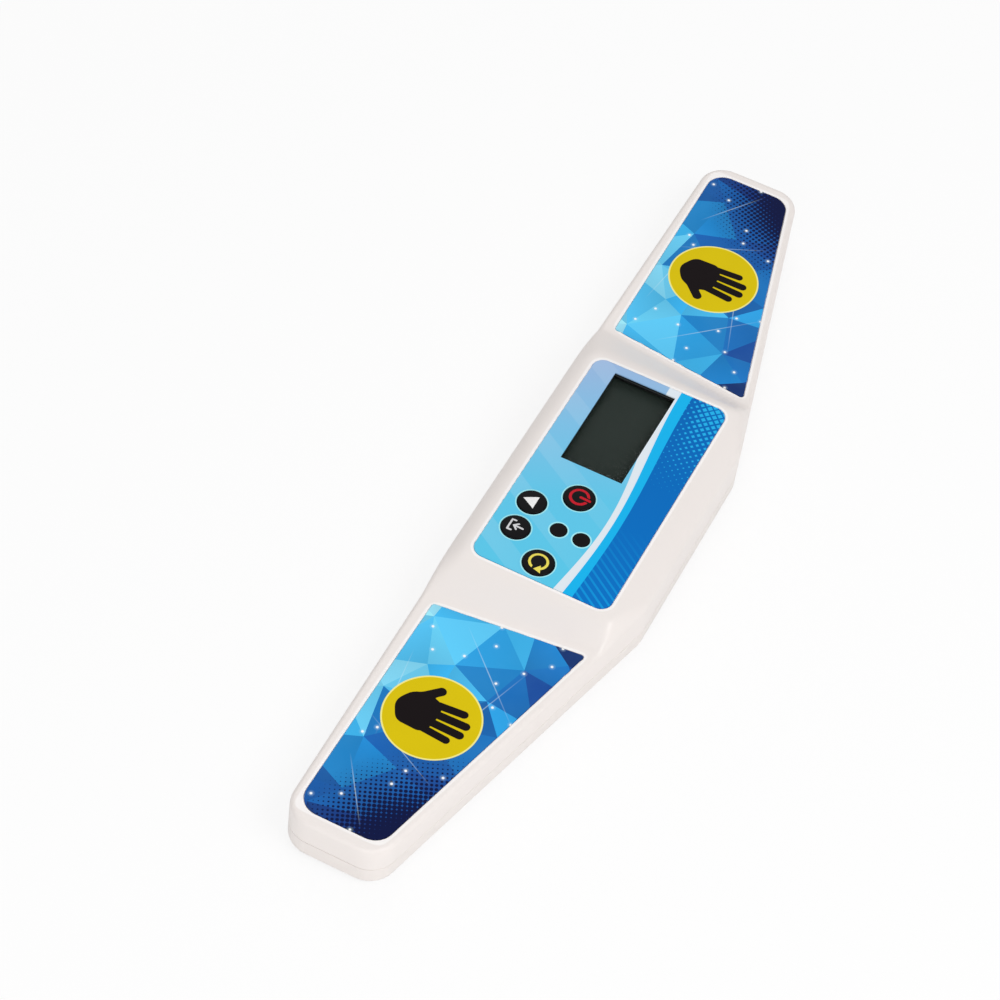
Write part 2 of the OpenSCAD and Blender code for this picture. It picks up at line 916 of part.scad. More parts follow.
// Contact plates at the two ends of the bay, with tabs up to the board
module battery_contacts() {
    plate_h = 2 * aaa_r - 2;
    color("silver") {
        for (s = [-1, 1]) {
            translate([-contact_x - contact_t, s * cell_pitch / 2 - aaa_r + 0.8, cell_axis_z - plate_h / 2])
                cube([contact_t, 2 * aaa_r - 1.6, plate_h]);
            translate([-contact_x - contact_t, s * cell_pitch / 2 - 1.5, cell_axis_z])
                cube([contact_t, 3, board_z - board_t - cell_axis_z]);
        }
        translate([contact_x, -cell_pitch / 2 - aaa_r + 0.8, cell_axis_z - plate_h / 2])
            cube([contact_t, cell_pitch + 2 * aaa_r - 1.6, plate_h]);
    }
}

// Pan-headed screw, head down
module screw(at, seat_z, shank_r, pan_r, pan_h, reach) {
    translate([at[0], at[1], seat_z - pan_h])
        difference() {
            union() {
                cylinder(r = pan_r, h = pan_h);
                cylinder(r = shank_r, h = pan_h + reach);
            }
            for (a = [0, 90]) {
                rotate([0, 0, a])
                    translate([-pan_r * 0.6, -0.3, -past])
                    cube([pan_r * 1.2, 0.6, past + pan_h * 0.6]);
            }
        }
}

module case_screws() {
    color("silver")
        for (p = case_screw_at) {
            screw(p, head_seat_z, screw_r - 0.2, head_r, 1.6, 1.6 + screw_reach - 0.5);
        }
}

module board_screws() {
    color("silver")
        for (p = board_boss_at) {
            screw(p, board_z - board_t, board_screw_r - 0.2, 1.7, 1, board_t + board_screw_reach);
        }
}

module rubber_feet() {
    color("dimgray")
        for (p = foot_at) {
            translate([p[0], p[1], 0])
                cylinder(r = foot_r - 0.4, h = 0.4);
            translate([p[0], p[1], 0.3])
                cylinder(r = foot_r, h = under_z + foot_sink - 0.3);
        }
}

// Insulated lead from an electrode to the underside of the board
lead_r = 0.6;
lead_y = panel_mid_y + 3;
lead_bend = 3;
lead_top_z = wing_roof_z - plate_t;
lead_low_z = lead_top_z - 2.6;
lead_end_x = board_l / 2 - 2.5;
lead_start_x = ramp_near + pad_root_gap + plate_in + 3;
lead_path = [
    [lead_start_x, lead_y, lead_top_z],
    [lead_start_x, lead_y, lead_top_z - 1],
    [lead_start_x - 1, lead_y, lead_low_z + 0.4],
    [lead_start_x - lead_bend, lead_y, lead_low_z],
    [(lead_start_x + lead_end_x) / 2, lead_y, lead_low_z - 0.3],
    [lead_end_x + lead_bend, lead_y, lead_low_z],
    [lead_end_x + 1, lead_y, lead_low_z + 0.5],
    [lead_end_x, lead_y, lead_low_z + 1.5],
    [lead_end_x, lead_y, board_z - board_t]
];

module sensor_lead() {
    swept_tube(lead_path, [0, 1, 0], lead_r, 8);
}

module left_sensor_lead() {
    color("crimson")
        mirror([1, 0, 0])
        sensor_lead();
}

module right_sensor_lead() {
    color("crimson")
        sensor_lead();
}

upper_shell();
lower_shell();
left_hand_pad();
right_hand_pad();
left_touch_plate();
right_touch_plate();
control_panel();
window_bezel();
window_lens();
display_cell();
display_holder();
zebra_strips();
main_board();
timer_chip();
quartz_crystal();
tact_switches();
status_leds();
light_windows();
power_button();
mode_button();
save_button();
reset_button();
power_plunger();
mode_plunger();
save_plunger();
reset_plunger();
data_socket();
battery_door();
battery_cells();
battery_springs();
battery_contacts();
case_screws();
board_screws();
rubber_feet();
left_sensor_lead();
right_sensor_lead();
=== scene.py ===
"""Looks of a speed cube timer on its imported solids: moulded case, printed films, keys, display and stage."""
import math
import random

import bmesh
import bpy
import numpy as np
from bpy.props import FloatProperty, FloatVectorProperty, PointerProperty
from mathutils import Matrix, Vector
from mathutils.geometry import delaunay_2d_cdt


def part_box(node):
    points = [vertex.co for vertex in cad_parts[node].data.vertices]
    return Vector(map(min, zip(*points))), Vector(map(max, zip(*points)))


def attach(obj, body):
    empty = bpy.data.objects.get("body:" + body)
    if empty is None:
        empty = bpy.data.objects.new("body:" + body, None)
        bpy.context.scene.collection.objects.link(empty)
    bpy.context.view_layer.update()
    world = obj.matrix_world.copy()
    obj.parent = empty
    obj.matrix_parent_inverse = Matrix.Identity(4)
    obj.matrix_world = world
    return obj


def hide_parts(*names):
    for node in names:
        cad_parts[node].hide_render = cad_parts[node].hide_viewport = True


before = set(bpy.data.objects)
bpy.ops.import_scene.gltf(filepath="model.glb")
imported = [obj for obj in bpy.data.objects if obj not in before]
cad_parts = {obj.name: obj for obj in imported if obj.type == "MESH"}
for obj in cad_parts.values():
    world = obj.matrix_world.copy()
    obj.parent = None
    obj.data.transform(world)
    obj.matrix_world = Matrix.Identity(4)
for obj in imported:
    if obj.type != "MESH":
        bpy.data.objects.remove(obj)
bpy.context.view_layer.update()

bl_info = {
    "name": "Speed cube timer looks",
    "version": (1, 0, 0),
    "blender": (4, 5, 0),
    "location": "View3D > Sidebar > Timer",
    "description": "Builds the moulded case, printed films, keys and display of a speed cube timer",
    "category": "Object",
}

MM = 0.001
# Distance in metres under which two points of a mesh are one
WELD = 1e-7


def srgb(red, green, blue):
    """Linear colour from screen values of 0 to 255."""
    shares = (c / 255 for c in (red, green, blue))
    return tuple(c / 12.92 if c <= 0.04045 else ((c + 0.055) / 1.055) ** 2.4 for c in shares)


# ---------------------------------------------------------------- sizes and colours


def length_property(label, about, millimetres):
    """A length that a user can change."""
    return FloatProperty(
        name=label, description=about, default=millimetres * MM, unit="LENGTH", subtype="DISTANCE",
        precision=4)


def colour_property(label, about, red, green, blue):
    """A colour that a user can change, from screen values."""
    return FloatVectorProperty(
        name=label, description=about, default=srgb(red, green, blue), size=3, subtype="COLOR", min=0, max=1)


class TimerCaseSizes(bpy.types.PropertyGroup):
    """Sizes of the moulded case, the same as in the solids."""

    length: length_property("Length", "From tip to tip", 274)
    width: length_property("Width", "Across the middle", 56)
    pod_top: length_property("Pod top", "Height of the raised middle above the table", 21)
    crease: length_property("Crease", "Height of the crease above the far wall", 18.4)
    wing_top: length_property("Wing top", "Height of the wings above the table", 15.5)
    split: length_property("Split", "Height of the parting line above the table", 7)
    wall: length_property("Wall", "Thickness of the moulded walls", 2)
    bulge_half: length_property("Bulge", "Half length of the straight far side", 32)
    kink_half: length_property("Kink", "Half length of the straight near side", 45)
    tip_width: length_property("Tip width", "Width of each squared-off tip", 29)
    near_taper: length_property("Near taper", "How far the near side draws in at the tips", 0.8)
    tip_radius: length_property("Tip radius", "Corner radius of the tips", 8)
    side_radius: length_property("Side radius", "Corner radius where the sides change direction", 7)
    edge_radius: length_property("Edge radius", "Rounding along the top edge", 1.4)
    plateau_half: length_property("Plateau", "Half length of the raised middle's flat top", 43.4)
    plateau_near: length_property("Plateau near", "Near edge of the flat top", -24)
    plateau_far: length_property("Plateau far", "Far edge of the flat top", 22)
    ramp_far: length_property("Ramp far", "Foot of the ramp on the far side", 51)
    ramp_near: length_property("Ramp near", "Foot of the ramp on the near side", 57.5)
    crown_blend: length_property("Crown blend", "Softness of the raised middle's convex edges", 1.5)
    foot_blend: length_property("Foot blend", "Softness of the hollow at the foot of the ramps", 2.2)


class TimerPanelSizes(bpy.types.PropertyGroup):
    """Sizes of the films, the window and the keys, the same as in the solids."""

    film: length_property("Film", "Thickness of the printed films", 0.4)
    film_gap: length_property("Film gap", "Gap round a film in its recess", 0.15)
    panel_length: length_property("Panel length", "Length of the panel film", 82)
    panel_width: length_property("Panel width", "Width of the panel film", 41.2)
    panel_middle: length_property("Panel middle", "Place of the panel film across the case", -1)
    panel_radius: length_property("Panel radius", "Corner radius of the panel film", 3.5)
    window_length: length_property("Window length", "Length of the window", 36.5)
    window_width: length_property("Window width", "Width of the window", 18.9)
    window_x: length_property("Window x", "Middle of the window along the case", -19.85)
    window_y: length_property("Window y", "Middle of the window across the case", -5.25)
    bezel: length_property("Bezel", "Thickness of the window's bezel, with its gap", 0.9)
    big_key: length_property("Big key", "Radius of the power and reset keys", 4.5)
    small_key: length_property("Small key", "Radius of the mode and save keys", 4.15)
    key_gap: length_property("Key gap", "Running gap round each key", 0.15)
    key_dome: length_property("Key dome", "Height of the dome on each key", 0.5)
    lamp_radius: length_property("Lamp radius", "Radius of each dark light window", 2.5)
    pad_end: length_property("Pad end", "From the tip of the case to the pad film", 4)
    pad_far: length_property("Pad far", "From the far side to the pad film", 2.9)
    pad_near_tip: length_property("Pad near tip", "From the near side to the pad film at the tip", 2.8)
    pad_near_root: length_property("Pad near root", "From the near side to the pad film at the ramp", 4.4)
    pad_root_gap: length_property("Pad root gap", "Strip between the foot of the ramp and the film", 1.2)
    pad_radius: length_property("Pad radius", "Corner radius of the pad film at the tip", 5.5)
    pad_root_radius: length_property("Pad root radius", "Corner radius of the pad film at the ramp", 0.8)
    disc_radius: length_property("Disc", "Radius of the yellow touch disc", 13.3)


class TimerColours(bpy.types.PropertyGroup):
    """Colours of the finishes."""

    housing: colour_property("Housing", "Warm off-white of the moulded case", 240, 233, 229)
    disc: colour_property("Disc", "Yellow of the touch discs", 222, 198, 6)
    key: colour_property("Key", "Black of the keys", 12, 11, 13)
    display: colour_property("Display", "Grey-green of the idle display under its glass", 42, 50, 46)
    floor: colour_property("Floor", "Pale floor under the timer", 250, 250, 250)


def case_sizes():
    return bpy.context.scene.timer_case_sizes


def panel_sizes():
    return bpy.context.scene.timer_panel_sizes


def colours():
    return bpy.context.scene.timer_colours


# ---------------------------------------------------------------- node trees written as expressions


class Wire:
    """A socket in a node tree. Arithmetic on wires adds Math nodes, or Vector Math for vectors."""

    def __init__(self, graph, socket):
        self.graph = graph
        self.socket = socket

    def out(self, name):
        """Another output of the same node."""
        return Wire(self.graph, self.socket.node.outputs[name])

    def calc(self, operation, *others):
        """One Math node, with this wire first."""
        return self.graph.math(operation, self, *others)

    def is_vector(self):
        return self.socket.type == "VECTOR"

    def __add__(self, other):
        return self.calc("ADD", other)

    def __radd__(self, other):
        return self.graph.math("ADD", other, self)

    def __sub__(self, other):
        return self.calc("SUBTRACT", other)

    def __rsub__(self, other):
        return self.graph.math("SUBTRACT", other, self)

    def __mul__(self, other):
        return self.calc("MULTIPLY", other)

    def __rmul__(self, other):
        return self.graph.math("MULTIPLY", other, self)

    def __truediv__(self, other):
        return self.calc("DIVIDE", other)

    def __rtruediv__(self, other):
        return self.graph.math("DIVIDE", other, self)

    def __neg__(self):
        return self.graph.math("MULTIPLY", self, -1)

    def __abs__(self):
        return self.calc("ABSOLUTE")

    def least(self, other):
        return self.calc("MINIMUM", other)

    def most(self, other):
        return self.calc("MAXIMUM", other)

    def clamped(self):
        """Held between 0 and 1."""
        return self.graph.add("ShaderNodeClamp", {}, {"Value": self})

    def xyz(self):
        """The three parts of a vector."""
        parts = self.graph.add("ShaderNodeSeparateXYZ", {}, {"Vector": self})
        return parts, parts.out("Y"), parts.out("Z")


class Graph:
    """A node tree that is built from expressions."""

    def __init__(self, tree):
        self.tree = tree

    def put(self, socket, value):
        """A wire, or each of a list of wires, is linked to a socket, and anything else is its value."""
        if isinstance(value, Wire):
            self.tree.links.new(value.socket, socket)
        elif isinstance(value, list):
            for wire in value:
                self.tree.links.new(wire.socket, socket)
        elif value is not None:
            socket.default_value = value

    def add(self, kind, settings=None, sockets=None):
        """One node: its settings first, then the values or links of its sockets, by name or by number."""
        node = self.tree.nodes.new(kind)
        for name, value in (settings or {}).items():
            if name == "stops":
                self.put_stops(node.color_ramp, value)
            else:
                setattr(node, name, value)
        for key, value in (sockets or {}).items():
            self.put(node.inputs[key], value)
        live = [s for s in node.outputs if s.enabled]
        return Wire(self, live[0]) if live else node

    def put_stops(self, ramp, stops):
        """Places and colours along a ramp."""
        while len(ramp.elements) < len(stops):
            ramp.elements.new(1)
        for element, (place, colour) in zip(ramp.elements, stops):
            element.position = place
            element.color = (*colour, 1)

    def math(self, operation, *values):
        """A Math node, or Vector Math where a value is a vector."""
        if any(isinstance(v, Wire) and v.is_vector() for v in values):
            return self.vector_math(operation, *values)
        return self.add("ShaderNodeMath", {"operation": operation}, dict(enumerate(values)))

    def vector_math(self, operation, *values):
        """A Vector Math node; a number stands for three of it."""
        spread = [(v, v, v) if isinstance(v, (int, float)) else v for v in values]
        return self.add("ShaderNodeVectorMath", {"operation": operation}, dict(enumerate(spread)))

    def vector(self, x, y, z=0.0):
        return self.add("ShaderNodeCombineXYZ", {}, {"X": x, "Y": y, "Z": z})


class Finish(Graph):
    """A material whose colour, roughness and relief are expressions on the place on the piece."""

    def __init__(self, name):
        self.material = bpy.data.materials.new(name)
        self.material.use_nodes = True
        super().__init__(self.material.node_tree)
        self.tree.nodes.clear()
        self.surface = self.tree.nodes.new("ShaderNodeBsdfPrincipled")
        self.output = self.tree.nodes.new("ShaderNodeOutputMaterial")
        self.tree.links.new(self.surface.outputs[0], self.output.inputs["Surface"])
        self.place = self.add("ShaderNodeTexCoord").out("Object")

    def flat_place(self, x=0.0, y=0.0):
        """The place seen from above in millimetres, measured from a point given in metres."""
        across, along, _ = self.place.xyz()
        return (across - x) / MM, (along - y) / MM

    def noise(self, size, detail=2.0, stretch=None):
        """Soft noise from 0 to 1 whose features are about the given size in metres."""
        place = self.place if stretch is None else self.place * self.vector(*stretch)
        sockets = {"Vector": place, "Scale": 1 / size, "Detail": detail, "Roughness": 0.5}
        return self.add("ShaderNodeTexNoise", {"noise_dimensions": "3D"}, sockets)

    def mix(self, share, first, second):
        """The second colour over the first, by a share from 0 to 1."""
        node = self.tree.nodes.new("ShaderNodeMix")
        node.data_type = "RGBA"
        node.clamp_factor = True
        for socket, value in ((node.inputs[0], share), (node.inputs[6], first), (node.inputs[7], second)):
            self.put(socket, (*value, 1) if isinstance(value, tuple) else value)
        return Wire(self, node.outputs[2])

    def ramp(self, share, stops):
        """The colour at a share along (place, screen colour) stops."""
        return self.add(
            "ShaderNodeValToRGB", {"stops": [(place, srgb(*tone)) for place, tone in stops]}, {"Fac": share})

    def inside(self, distance, soft=0.08):
        """1 where a signed distance in millimetres is below zero, 0 above, with a soft edge."""
        return (0.5 - distance / soft).clamped()

    def relief(self, height, distance, strength):
        """Relief from a height of 0 to 1 that stands for the given distance in metres."""
        bump = self.add("ShaderNodeBump", {}, {"Height": height, "Distance": distance, "Strength": strength})
        self.set(Normal=bump)

    def set(self, **sockets):
        """Values or wires on the surface shader; an underscore stands for a space."""
        for name, value in sockets.items():
            socket = self.surface.inputs[name.replace("_", " ")]
            if socket.type == "RGBA" and isinstance(value, tuple):
                value = (*value, 1)
            self.put(socket, value)
        return self


# ---------------------------------------------------------------- outlines, in metres, seen from above


def unit(v):
    """The direction of a vector, with length 1."""
    return v / np.linalg.norm(v)


def left_of(v):
    """A flat direction turned a quarter to the left."""
    return np.array([-v[1], v[0]])


def cross(a, b):
    """Twice the signed area between two flat directions."""
    return a[0] * b[1] - a[1] * b[0]


def meet(p, along, q, across):
    """Where the line through p meets the line through q."""
    return p + along * cross(q - p, across) / cross(along, across)


def corner_centre(corners, i, radius):
    """Centre of the circle that touches both edges at a corner of an anticlockwise outline."""
    a = left_of(unit(corners[i] - corners[i - 1]))
    b = left_of(unit(corners[(i + 1) % len(corners)] - corners[i]))
    middle = (a + b) / 2
    return corners[i] + radius * middle / (middle @ middle)


# Radius of a corner whose inset has used up its own
LEAST_RADIUS = 0.02 * MM


def rounded_loop(corners, radii, inset=0.0, arc_steps=8, spacing=0.0):
    """Points round a corner-rounded outline, drawn inset. Their number doesn't depend on the inset.
    A right-angled corner has arc_steps steps, and a shallower one fewer."""
    corners = [np.array(c, float) for c in corners]
    count = len(corners)
    centres = [corner_centre(corners, i, radii[i]) for i in range(count)]
    points = []
    for i in range(count):
        before = -left_of(unit(corners[i] - corners[i - 1]))
        after = -left_of(unit(corners[(i + 1) % count] - corners[i]))
        start = math.atan2(before[1], before[0])
        turn = (math.atan2(after[1], after[0]) - start) % math.tau
        radius = max(radii[i] - inset, LEAST_RADIUS)
        steps = max(math.ceil(arc_steps * turn / (math.pi / 2) - 0.01), 1)
        for k in range(steps + 1):
            angle = start + turn * k / steps
            points.append(centres[i] + radius * np.array([math.cos(angle), math.sin(angle)]))
        if spacing:
            j = (i + 1) % count
            far_end = centres[j] + max(radii[j] - inset, LEAST_RADIUS) * after
            steps = math.ceil(np.linalg.norm(centres[j] - centres[i]) / spacing)
            points += [points[-1] + (far_end - points[-1]) * k / steps for k in range(1, steps)]
    return np.array(points)


# Points round a hole, and their spacing along the window's edges
CIRCLE_STEPS = 48
WINDOW_SPACING = 2 * MM


def circle_loop(x, y, radius):
    """Points round a circle."""
    turns = np.arange(CIRCLE_STEPS) * math.tau / CIRCLE_STEPS
    return np.stack([x + radius * np.cos(turns), y + radius * np.sin(turns)], axis=1)


def box_loop(x, y, length, width):
    """Points round a rectangle."""
    corners = [(x + i * length / 2, y + j * width / 2) for i, j in ((1, 1), (-1, 1), (-1, -1), (1, -1))]
    points = []
    for a, b in zip(corners, corners[1:] + corners[:1]):
        steps = math.ceil(math.dist(a, b) / WINDOW_SPACING)
        points += [(a[0] + (b[0] - a[0]) * k / steps, a[1] + (b[1] - a[1]) * k / steps) for k in range(steps)]
    return np.array(points)


# Twice the area of a triangle, in square metres, below which a point counts as on a loop's edge
BARELY_INSIDE = 1e-10


def within(loop, points):
    """Which points lie inside a convex anticlockwise loop."""
    inside = np.ones(len(points), bool)
    for a, b in zip(loop, np.roll(loop, -1, axis=0)):
        inside &= cross(b - a, (points - a).T) > BARELY_INSIDE
    return inside


def case_outline():
    """Corners and corner radii of the case."""
    s = case_sizes()
    half, side = s.length / 2, s.width / 2
    tip_near = s.near_taper - side
    tip_far = tip_near + s.tip_width
    right = [(s.kink_half, -side), (half, tip_near), (half, tip_far), (s.bulge_half, side)]
    left = [(-x, y) for x, y in reversed(right)]
    radii = [s.side_radius, s.tip_radius, s.tip_radius, s.side_radius]
    return right + left, radii + radii[::-1]


def case_loop(inset=0.0):
    """Points round the case, drawn inset."""
    corners, radii = case_outline()
    return rounded_loop(corners, radii, inset, arc_steps=10, spacing=1.5 * MM)


def pad_outline():
    """Corners and corner radii of the pad film on the right wing."""
    c, p = case_sizes(), panel_sizes()
    half, side = c.length / 2, c.width / 2
    far_slope = (c.width - c.near_taper - c.tip_width) / (half - c.bulge_half)
    near_slope = c.near_taper / (half - c.kink_half)
    far_along = unit(np.array([1, -far_slope]))
    far_start = np.array([c.bulge_half, side]) - p.pad_far * left_of(far_along)
    near_tip = np.array([half, -side + c.near_taper + p.pad_near_tip])
    near_root = np.array([c.ramp_near, -side + near_slope * (c.ramp_near - c.kink_half) + p.pad_near_root])
    root_along = unit(np.array([c.ramp_far - c.ramp_near, c.width]))
    root = np.array([(c.ramp_far + c.ramp_near) / 2 + p.pad_root_gap, 0])
    end = np.array([half - p.pad_end, 0])
    upward = np.array([0, 1])
    corners = [
        meet(near_tip, near_root - near_tip, root, root_along),
        meet(near_tip, near_root - near_tip, end, upward),
        meet(far_start, far_along, end, upward),
        meet(far_start, far_along, root, root_along),
    ]
    return corners, [p.pad_root_radius, p.pad_radius, p.pad_radius, p.pad_root_radius]


def panel_outline():
    """Corners and corner radii of the panel film."""
    p = panel_sizes()
    half_l, half_w = p.panel_length / 2, p.panel_width / 2
    corners = [(i * half_l, p.panel_middle + j * half_w) for i, j in ((-1, -1), (1, -1), (1, 1), (-1, 1))]
    return corners, [p.panel_radius] * 4


def key_places():
    """Each key's middle and radius, by name."""
    p = panel_sizes()
    near = p.panel_middle - p.panel_width / 2
    return {
        "power": (9.2 * MM, near + 17.9 * MM, p.big_key),
        "mode": (17.2 * MM, near + 7.2 * MM, p.small_key),
        "save": (27.4 * MM, near + 7.2 * MM, p.small_key),
        "reset": (35.3 * MM, near + 18 * MM, p.big_key),
    }


def lamp_places():
    """Middles of the two light windows and of the lamps under them."""
    near = panel_sizes().panel_middle - panel_sizes().panel_width / 2
    return [(22.2 * MM, near + 17.8 * MM), (22.2 * MM, near + 24.7 * MM)]


def panel_holes(round_window=0.0):
    """Loops of the window, with some room round it, of the key holes and of the light holes."""
    p = panel_sizes()
    window = box_loop(
        p.window_x, p.window_y, p.window_length + 2 * round_window, p.window_width + 2 * round_window)
    keys = [circle_loop(x, y, radius + p.key_gap) for x, y, radius in key_places().values()]
    lamps = [circle_loop(x, y, p.lamp_radius) for x, y in lamp_places()]
    return [window] + keys + lamps


# ---------------------------------------------------------------- meshes


def mesh_piece(name, points, faces, smooth_angle=40.0):
    """A new object at the origin from points in metres; its faces are turned outwards."""
    mesh = bpy.data.meshes.new(name)
    mesh.from_pydata([tuple(p) for p in points], [], [tuple(f) for f in faces])
    piece = bpy.data.objects.new(name, mesh)
    bpy.context.scene.collection.objects.link(piece)
    tidy_mesh(mesh, smooth_angle)
    return piece


def tidy_mesh(mesh, smooth_angle, turn_outwards=True):
    """Merges doubles, turns the faces outwards and smooths all but sharp edges."""
    body = bmesh.new()
    body.from_mesh(mesh)
    bmesh.ops.remove_doubles(body, verts=body.verts, dist=WELD)
    bmesh.ops.dissolve_degenerate(body, edges=body.edges, dist=WELD)
    if turn_outwards:
        bmesh.ops.recalc_face_normals(body, faces=body.faces)
    body.to_mesh(mesh)
    body.free()
    mesh.shade_smooth()
    mesh.set_sharp_from_angle(angle=math.radians(smooth_angle))
    mesh.update()


def baked(piece):
    """The piece's modifiers turned into its plain mesh."""
    bpy.context.view_layer.update()
    graph = bpy.context.evaluated_depsgraph_get()
    mesh = bpy.data.meshes.new_from_object(piece.evaluated_get(graph))
    piece.modifiers.clear()
    old = piece.data
    piece.data = mesh
    mesh.name = piece.name
    bpy.data.meshes.remove(old)
    return piece


def placed(piece, body, node, finish=None):
    """Gives a finished piece its material and its body, and hides the solid it stands for."""
    if finish is not None:
        piece.data.materials.clear()
        piece.data.materials.append(finish.material)
    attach(piece, body)
    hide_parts(node)
    return piece


def node_copy(node, name):
    """A copy of a solid as a new object."""
    piece = bpy.data.objects.new(name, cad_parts[node].data.copy())
    piece.data.name = name
    bpy.context.scene.collection.objects.link(piece)
    return piece


def shaded(node, name, finish, smooth_angle=40.0):
    """A merged copy of a solid with even shading on its flat faces, in its finish."""
    piece = node_copy(node, name)
    tidy_mesh(piece.data, smooth_angle, turn_outwards=False)
    weighted = piece.modifiers.new("even shading", "WEIGHTED_NORMAL")
    weighted.mode = "FACE_AREA"
    weighted.keep_sharp = True
    return placed(baked(piece), "case", node, finish)


def softened(node, name, finish, width, segments=2, body="case"):
    """A merged copy of a solid whose sharp edges are softened, in its finish."""
    piece = node_copy(node, name)
    merged = bmesh.new()
    merged.from_mesh(piece.data)
    bmesh.ops.remove_doubles(merged, verts=merged.verts, dist=WELD)
    bmesh.ops.dissolve_limit(
        merged, angle_limit=math.radians(1), verts=merged.verts, edges=merged.edges,
        use_dissolve_boundaries=False)
    merged.to_mesh(piece.data)
    merged.free()
    soften = piece.modifiers.new("soft edges", "BEVEL")
    soften.width = width
    soften.segments = segments
    soften.limit_method = "ANGLE"
    soften.angle_limit = math.radians(50)
    soften.use_clamp_overlap = True
    soften.harden_normals = False
    piece.data.shade_smooth()
    weighted = piece.modifiers.new("even shading", "WEIGHTED_NORMAL")
    weighted.mode = "FACE_AREA"
    return placed(baked(piece), body, node, finish)


def node_finish(node, finish):
    """A better material on a solid whose shape stays."""
    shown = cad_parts[node]
    if not shown.data.materials:
        shown.data.materials.append(finish.material)
    for i in range(len(shown.material_slots)):
        shown.material_slots[i].material = finish.material


def loose_tops(node):
    """Middle of each loose part of a solid, seen from above, at its highest point."""
    body = bmesh.new()
    body.from_mesh(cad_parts[node].data)
    bmesh.ops.remove_doubles(body, verts=body.verts, dist=WELD)
    waiting = set(body.verts)
    spots = []
    while waiting:
        group, edge = set(), [waiting.pop()]
        while edge:
            vert = edge.pop()
            group.add(vert)
            for line in vert.link_edges:
                other = line.other_vert(vert)
                if other in waiting:
                    waiting.discard(other)
                    edge.append(other)
        places = np.array([v.co for v in group])
        low, high = places.min(axis=0), places.max(axis=0)
        spots.append((*(low[:2] + high[:2]) / 2, high[2]))
    body.free()
    return sorted(spots)


def skin(rings, holes, filling):
    """Triangles over a plan: rings of (loop, heights), hole loops left open and loose filling points.
    Returns points, triangles and the index of each ring's first point."""
    flat, heights, edges, starts = [], [], [], []
    for loop, height in rings:
        start = len(flat)
        starts.append(start)
        flat += [tuple(p) for p in loop]
        heights += list(np.broadcast_to(height, len(loop)))
        edges += [(start + k, start + (k + 1) % len(loop)) for k in range(len(loop))]
    spots, spot_heights = filling
    flat += [tuple(p) for p in spots]
    heights += list(spot_heights)
    made = delaunay_2d_cdt([Vector(p) for p in flat], edges, [], 0, 1e-9)
    if len(made[0]) != len(flat):
        raise RuntimeError(f"a plan has crossing loops: {len(flat)} points became {len(made[0])}")
    triangles = np.array([f for f in made[2]])
    middles = np.array(flat)[triangles].mean(axis=1)
    keep = within(rings[0][0], middles)
    for start, (loop, _) in zip(starts, rings):
        if any(loop is hole for hole in holes):
            spanning = np.all((triangles >= start) & (triangles < start + len(loop)), axis=1)
            keep &= ~(spanning | within(loop, middles))
    points = np.column_stack([np.array(flat), np.array(heights)])
    return points, triangles[keep], starts


def belt(first, second, count):
    """Quads between two rings of points with the same count, given where each starts."""
    return [(first + k, first + (k + 1) % count, second + (k + 1) % count, second + k) for k in range(count)]


def spread_points(loops, low, high, spacing, clear):
    """A grid of points that keeps clear of the points of some loops."""
    xs = np.arange(low[0], high[0], spacing)
    ys = np.arange(low[1], high[1], spacing)
    grid = np.array(np.meshgrid(xs, ys)).reshape(2, -1).T
    known = np.concatenate(loops)
    order = np.argsort(known[:, 0])
    known = known[order]
    keep = np.ones(len(grid), bool)
    for i, point in enumerate(grid):
        first, last = np.searchsorted(known[:, 0], (point[0] - clear, point[0] + clear))
        near = known[first:last]
        keep[i] = not len(near) or np.min(np.hypot(*(near - point).T)) > clear
    return grid[keep]


# ---------------------------------------------------------------- the moulded case


def smooth_least(a, b, softness):
    """The lesser of two heights, blended where they are close."""
    share = np.clip(0.5 + 0.5 * (b - a) / softness, 0, 1)
    return b * (1 - share) + a * share - softness * share * (1 - share)


def plane_through(a, b, c):
    """Height over a place on the plane through three points."""
    normal = np.cross(np.subtract(b, a), np.subtract(c, a))
    return lambda x, y: a[2] - (normal[0] * (x - a[0]) + normal[1] * (y - a[1])) / normal[2]


def case_height(x, y):
    """Height of the case's top over a place: a plateau with slopes and ramps that run out into the wings."""
    s = case_sizes()
    x = np.abs(x)
    side = s.width / 2
    drop = s.pod_top - s.crease
    far_foot = side - (s.width - s.near_taper - s.tip_width) / (s.length / 2 - s.bulge_half) * (
        s.ramp_far - s.bulge_half)
    # The hollow ends at the ramp's foot, so the ramp itself would meet the wing half a blend earlier
    foot_x = s.ramp_far + (s.ramp_near - s.ramp_far) * (far_foot - y) / (far_foot + side)
    ramp_run = foot_x - s.foot_blend / 2 - s.plateau_half
    ramp_slope = (s.pod_top - s.wing_top) / ramp_run
    ramp = s.pod_top - ramp_slope * (x - s.plateau_half)
    far = s.pod_top - drop * (y - s.plateau_far) / (side - s.plateau_far)
    near = s.pod_top - drop * (s.plateau_near - y) / (s.plateau_near + side)
    far_corner = plane_through(
        (s.plateau_half, s.plateau_far, s.pod_top), (s.bulge_half, side, s.crease),
        (s.ramp_far, far_foot, s.wing_top))
    near_corner = plane_through(
        (s.plateau_half, s.plateau_near, s.pod_top), (s.kink_half, -side, s.crease),
        (s.ramp_near, -side, s.wing_top))
    height = np.full_like(x, s.pod_top)
    for slope in (far, near, ramp, far_corner(x, y), near_corner(x, y)):
        height = smooth_least(height, slope, s.crown_blend)
    return -smooth_least(-height, np.full_like(x, -s.wing_top), s.foot_blend / 2 * ramp_slope)


# Steps over the rounded top edge, and the flat rim that is kept past it
EDGE_STEPS = 6
EDGE_RIM = 0.5 * MM
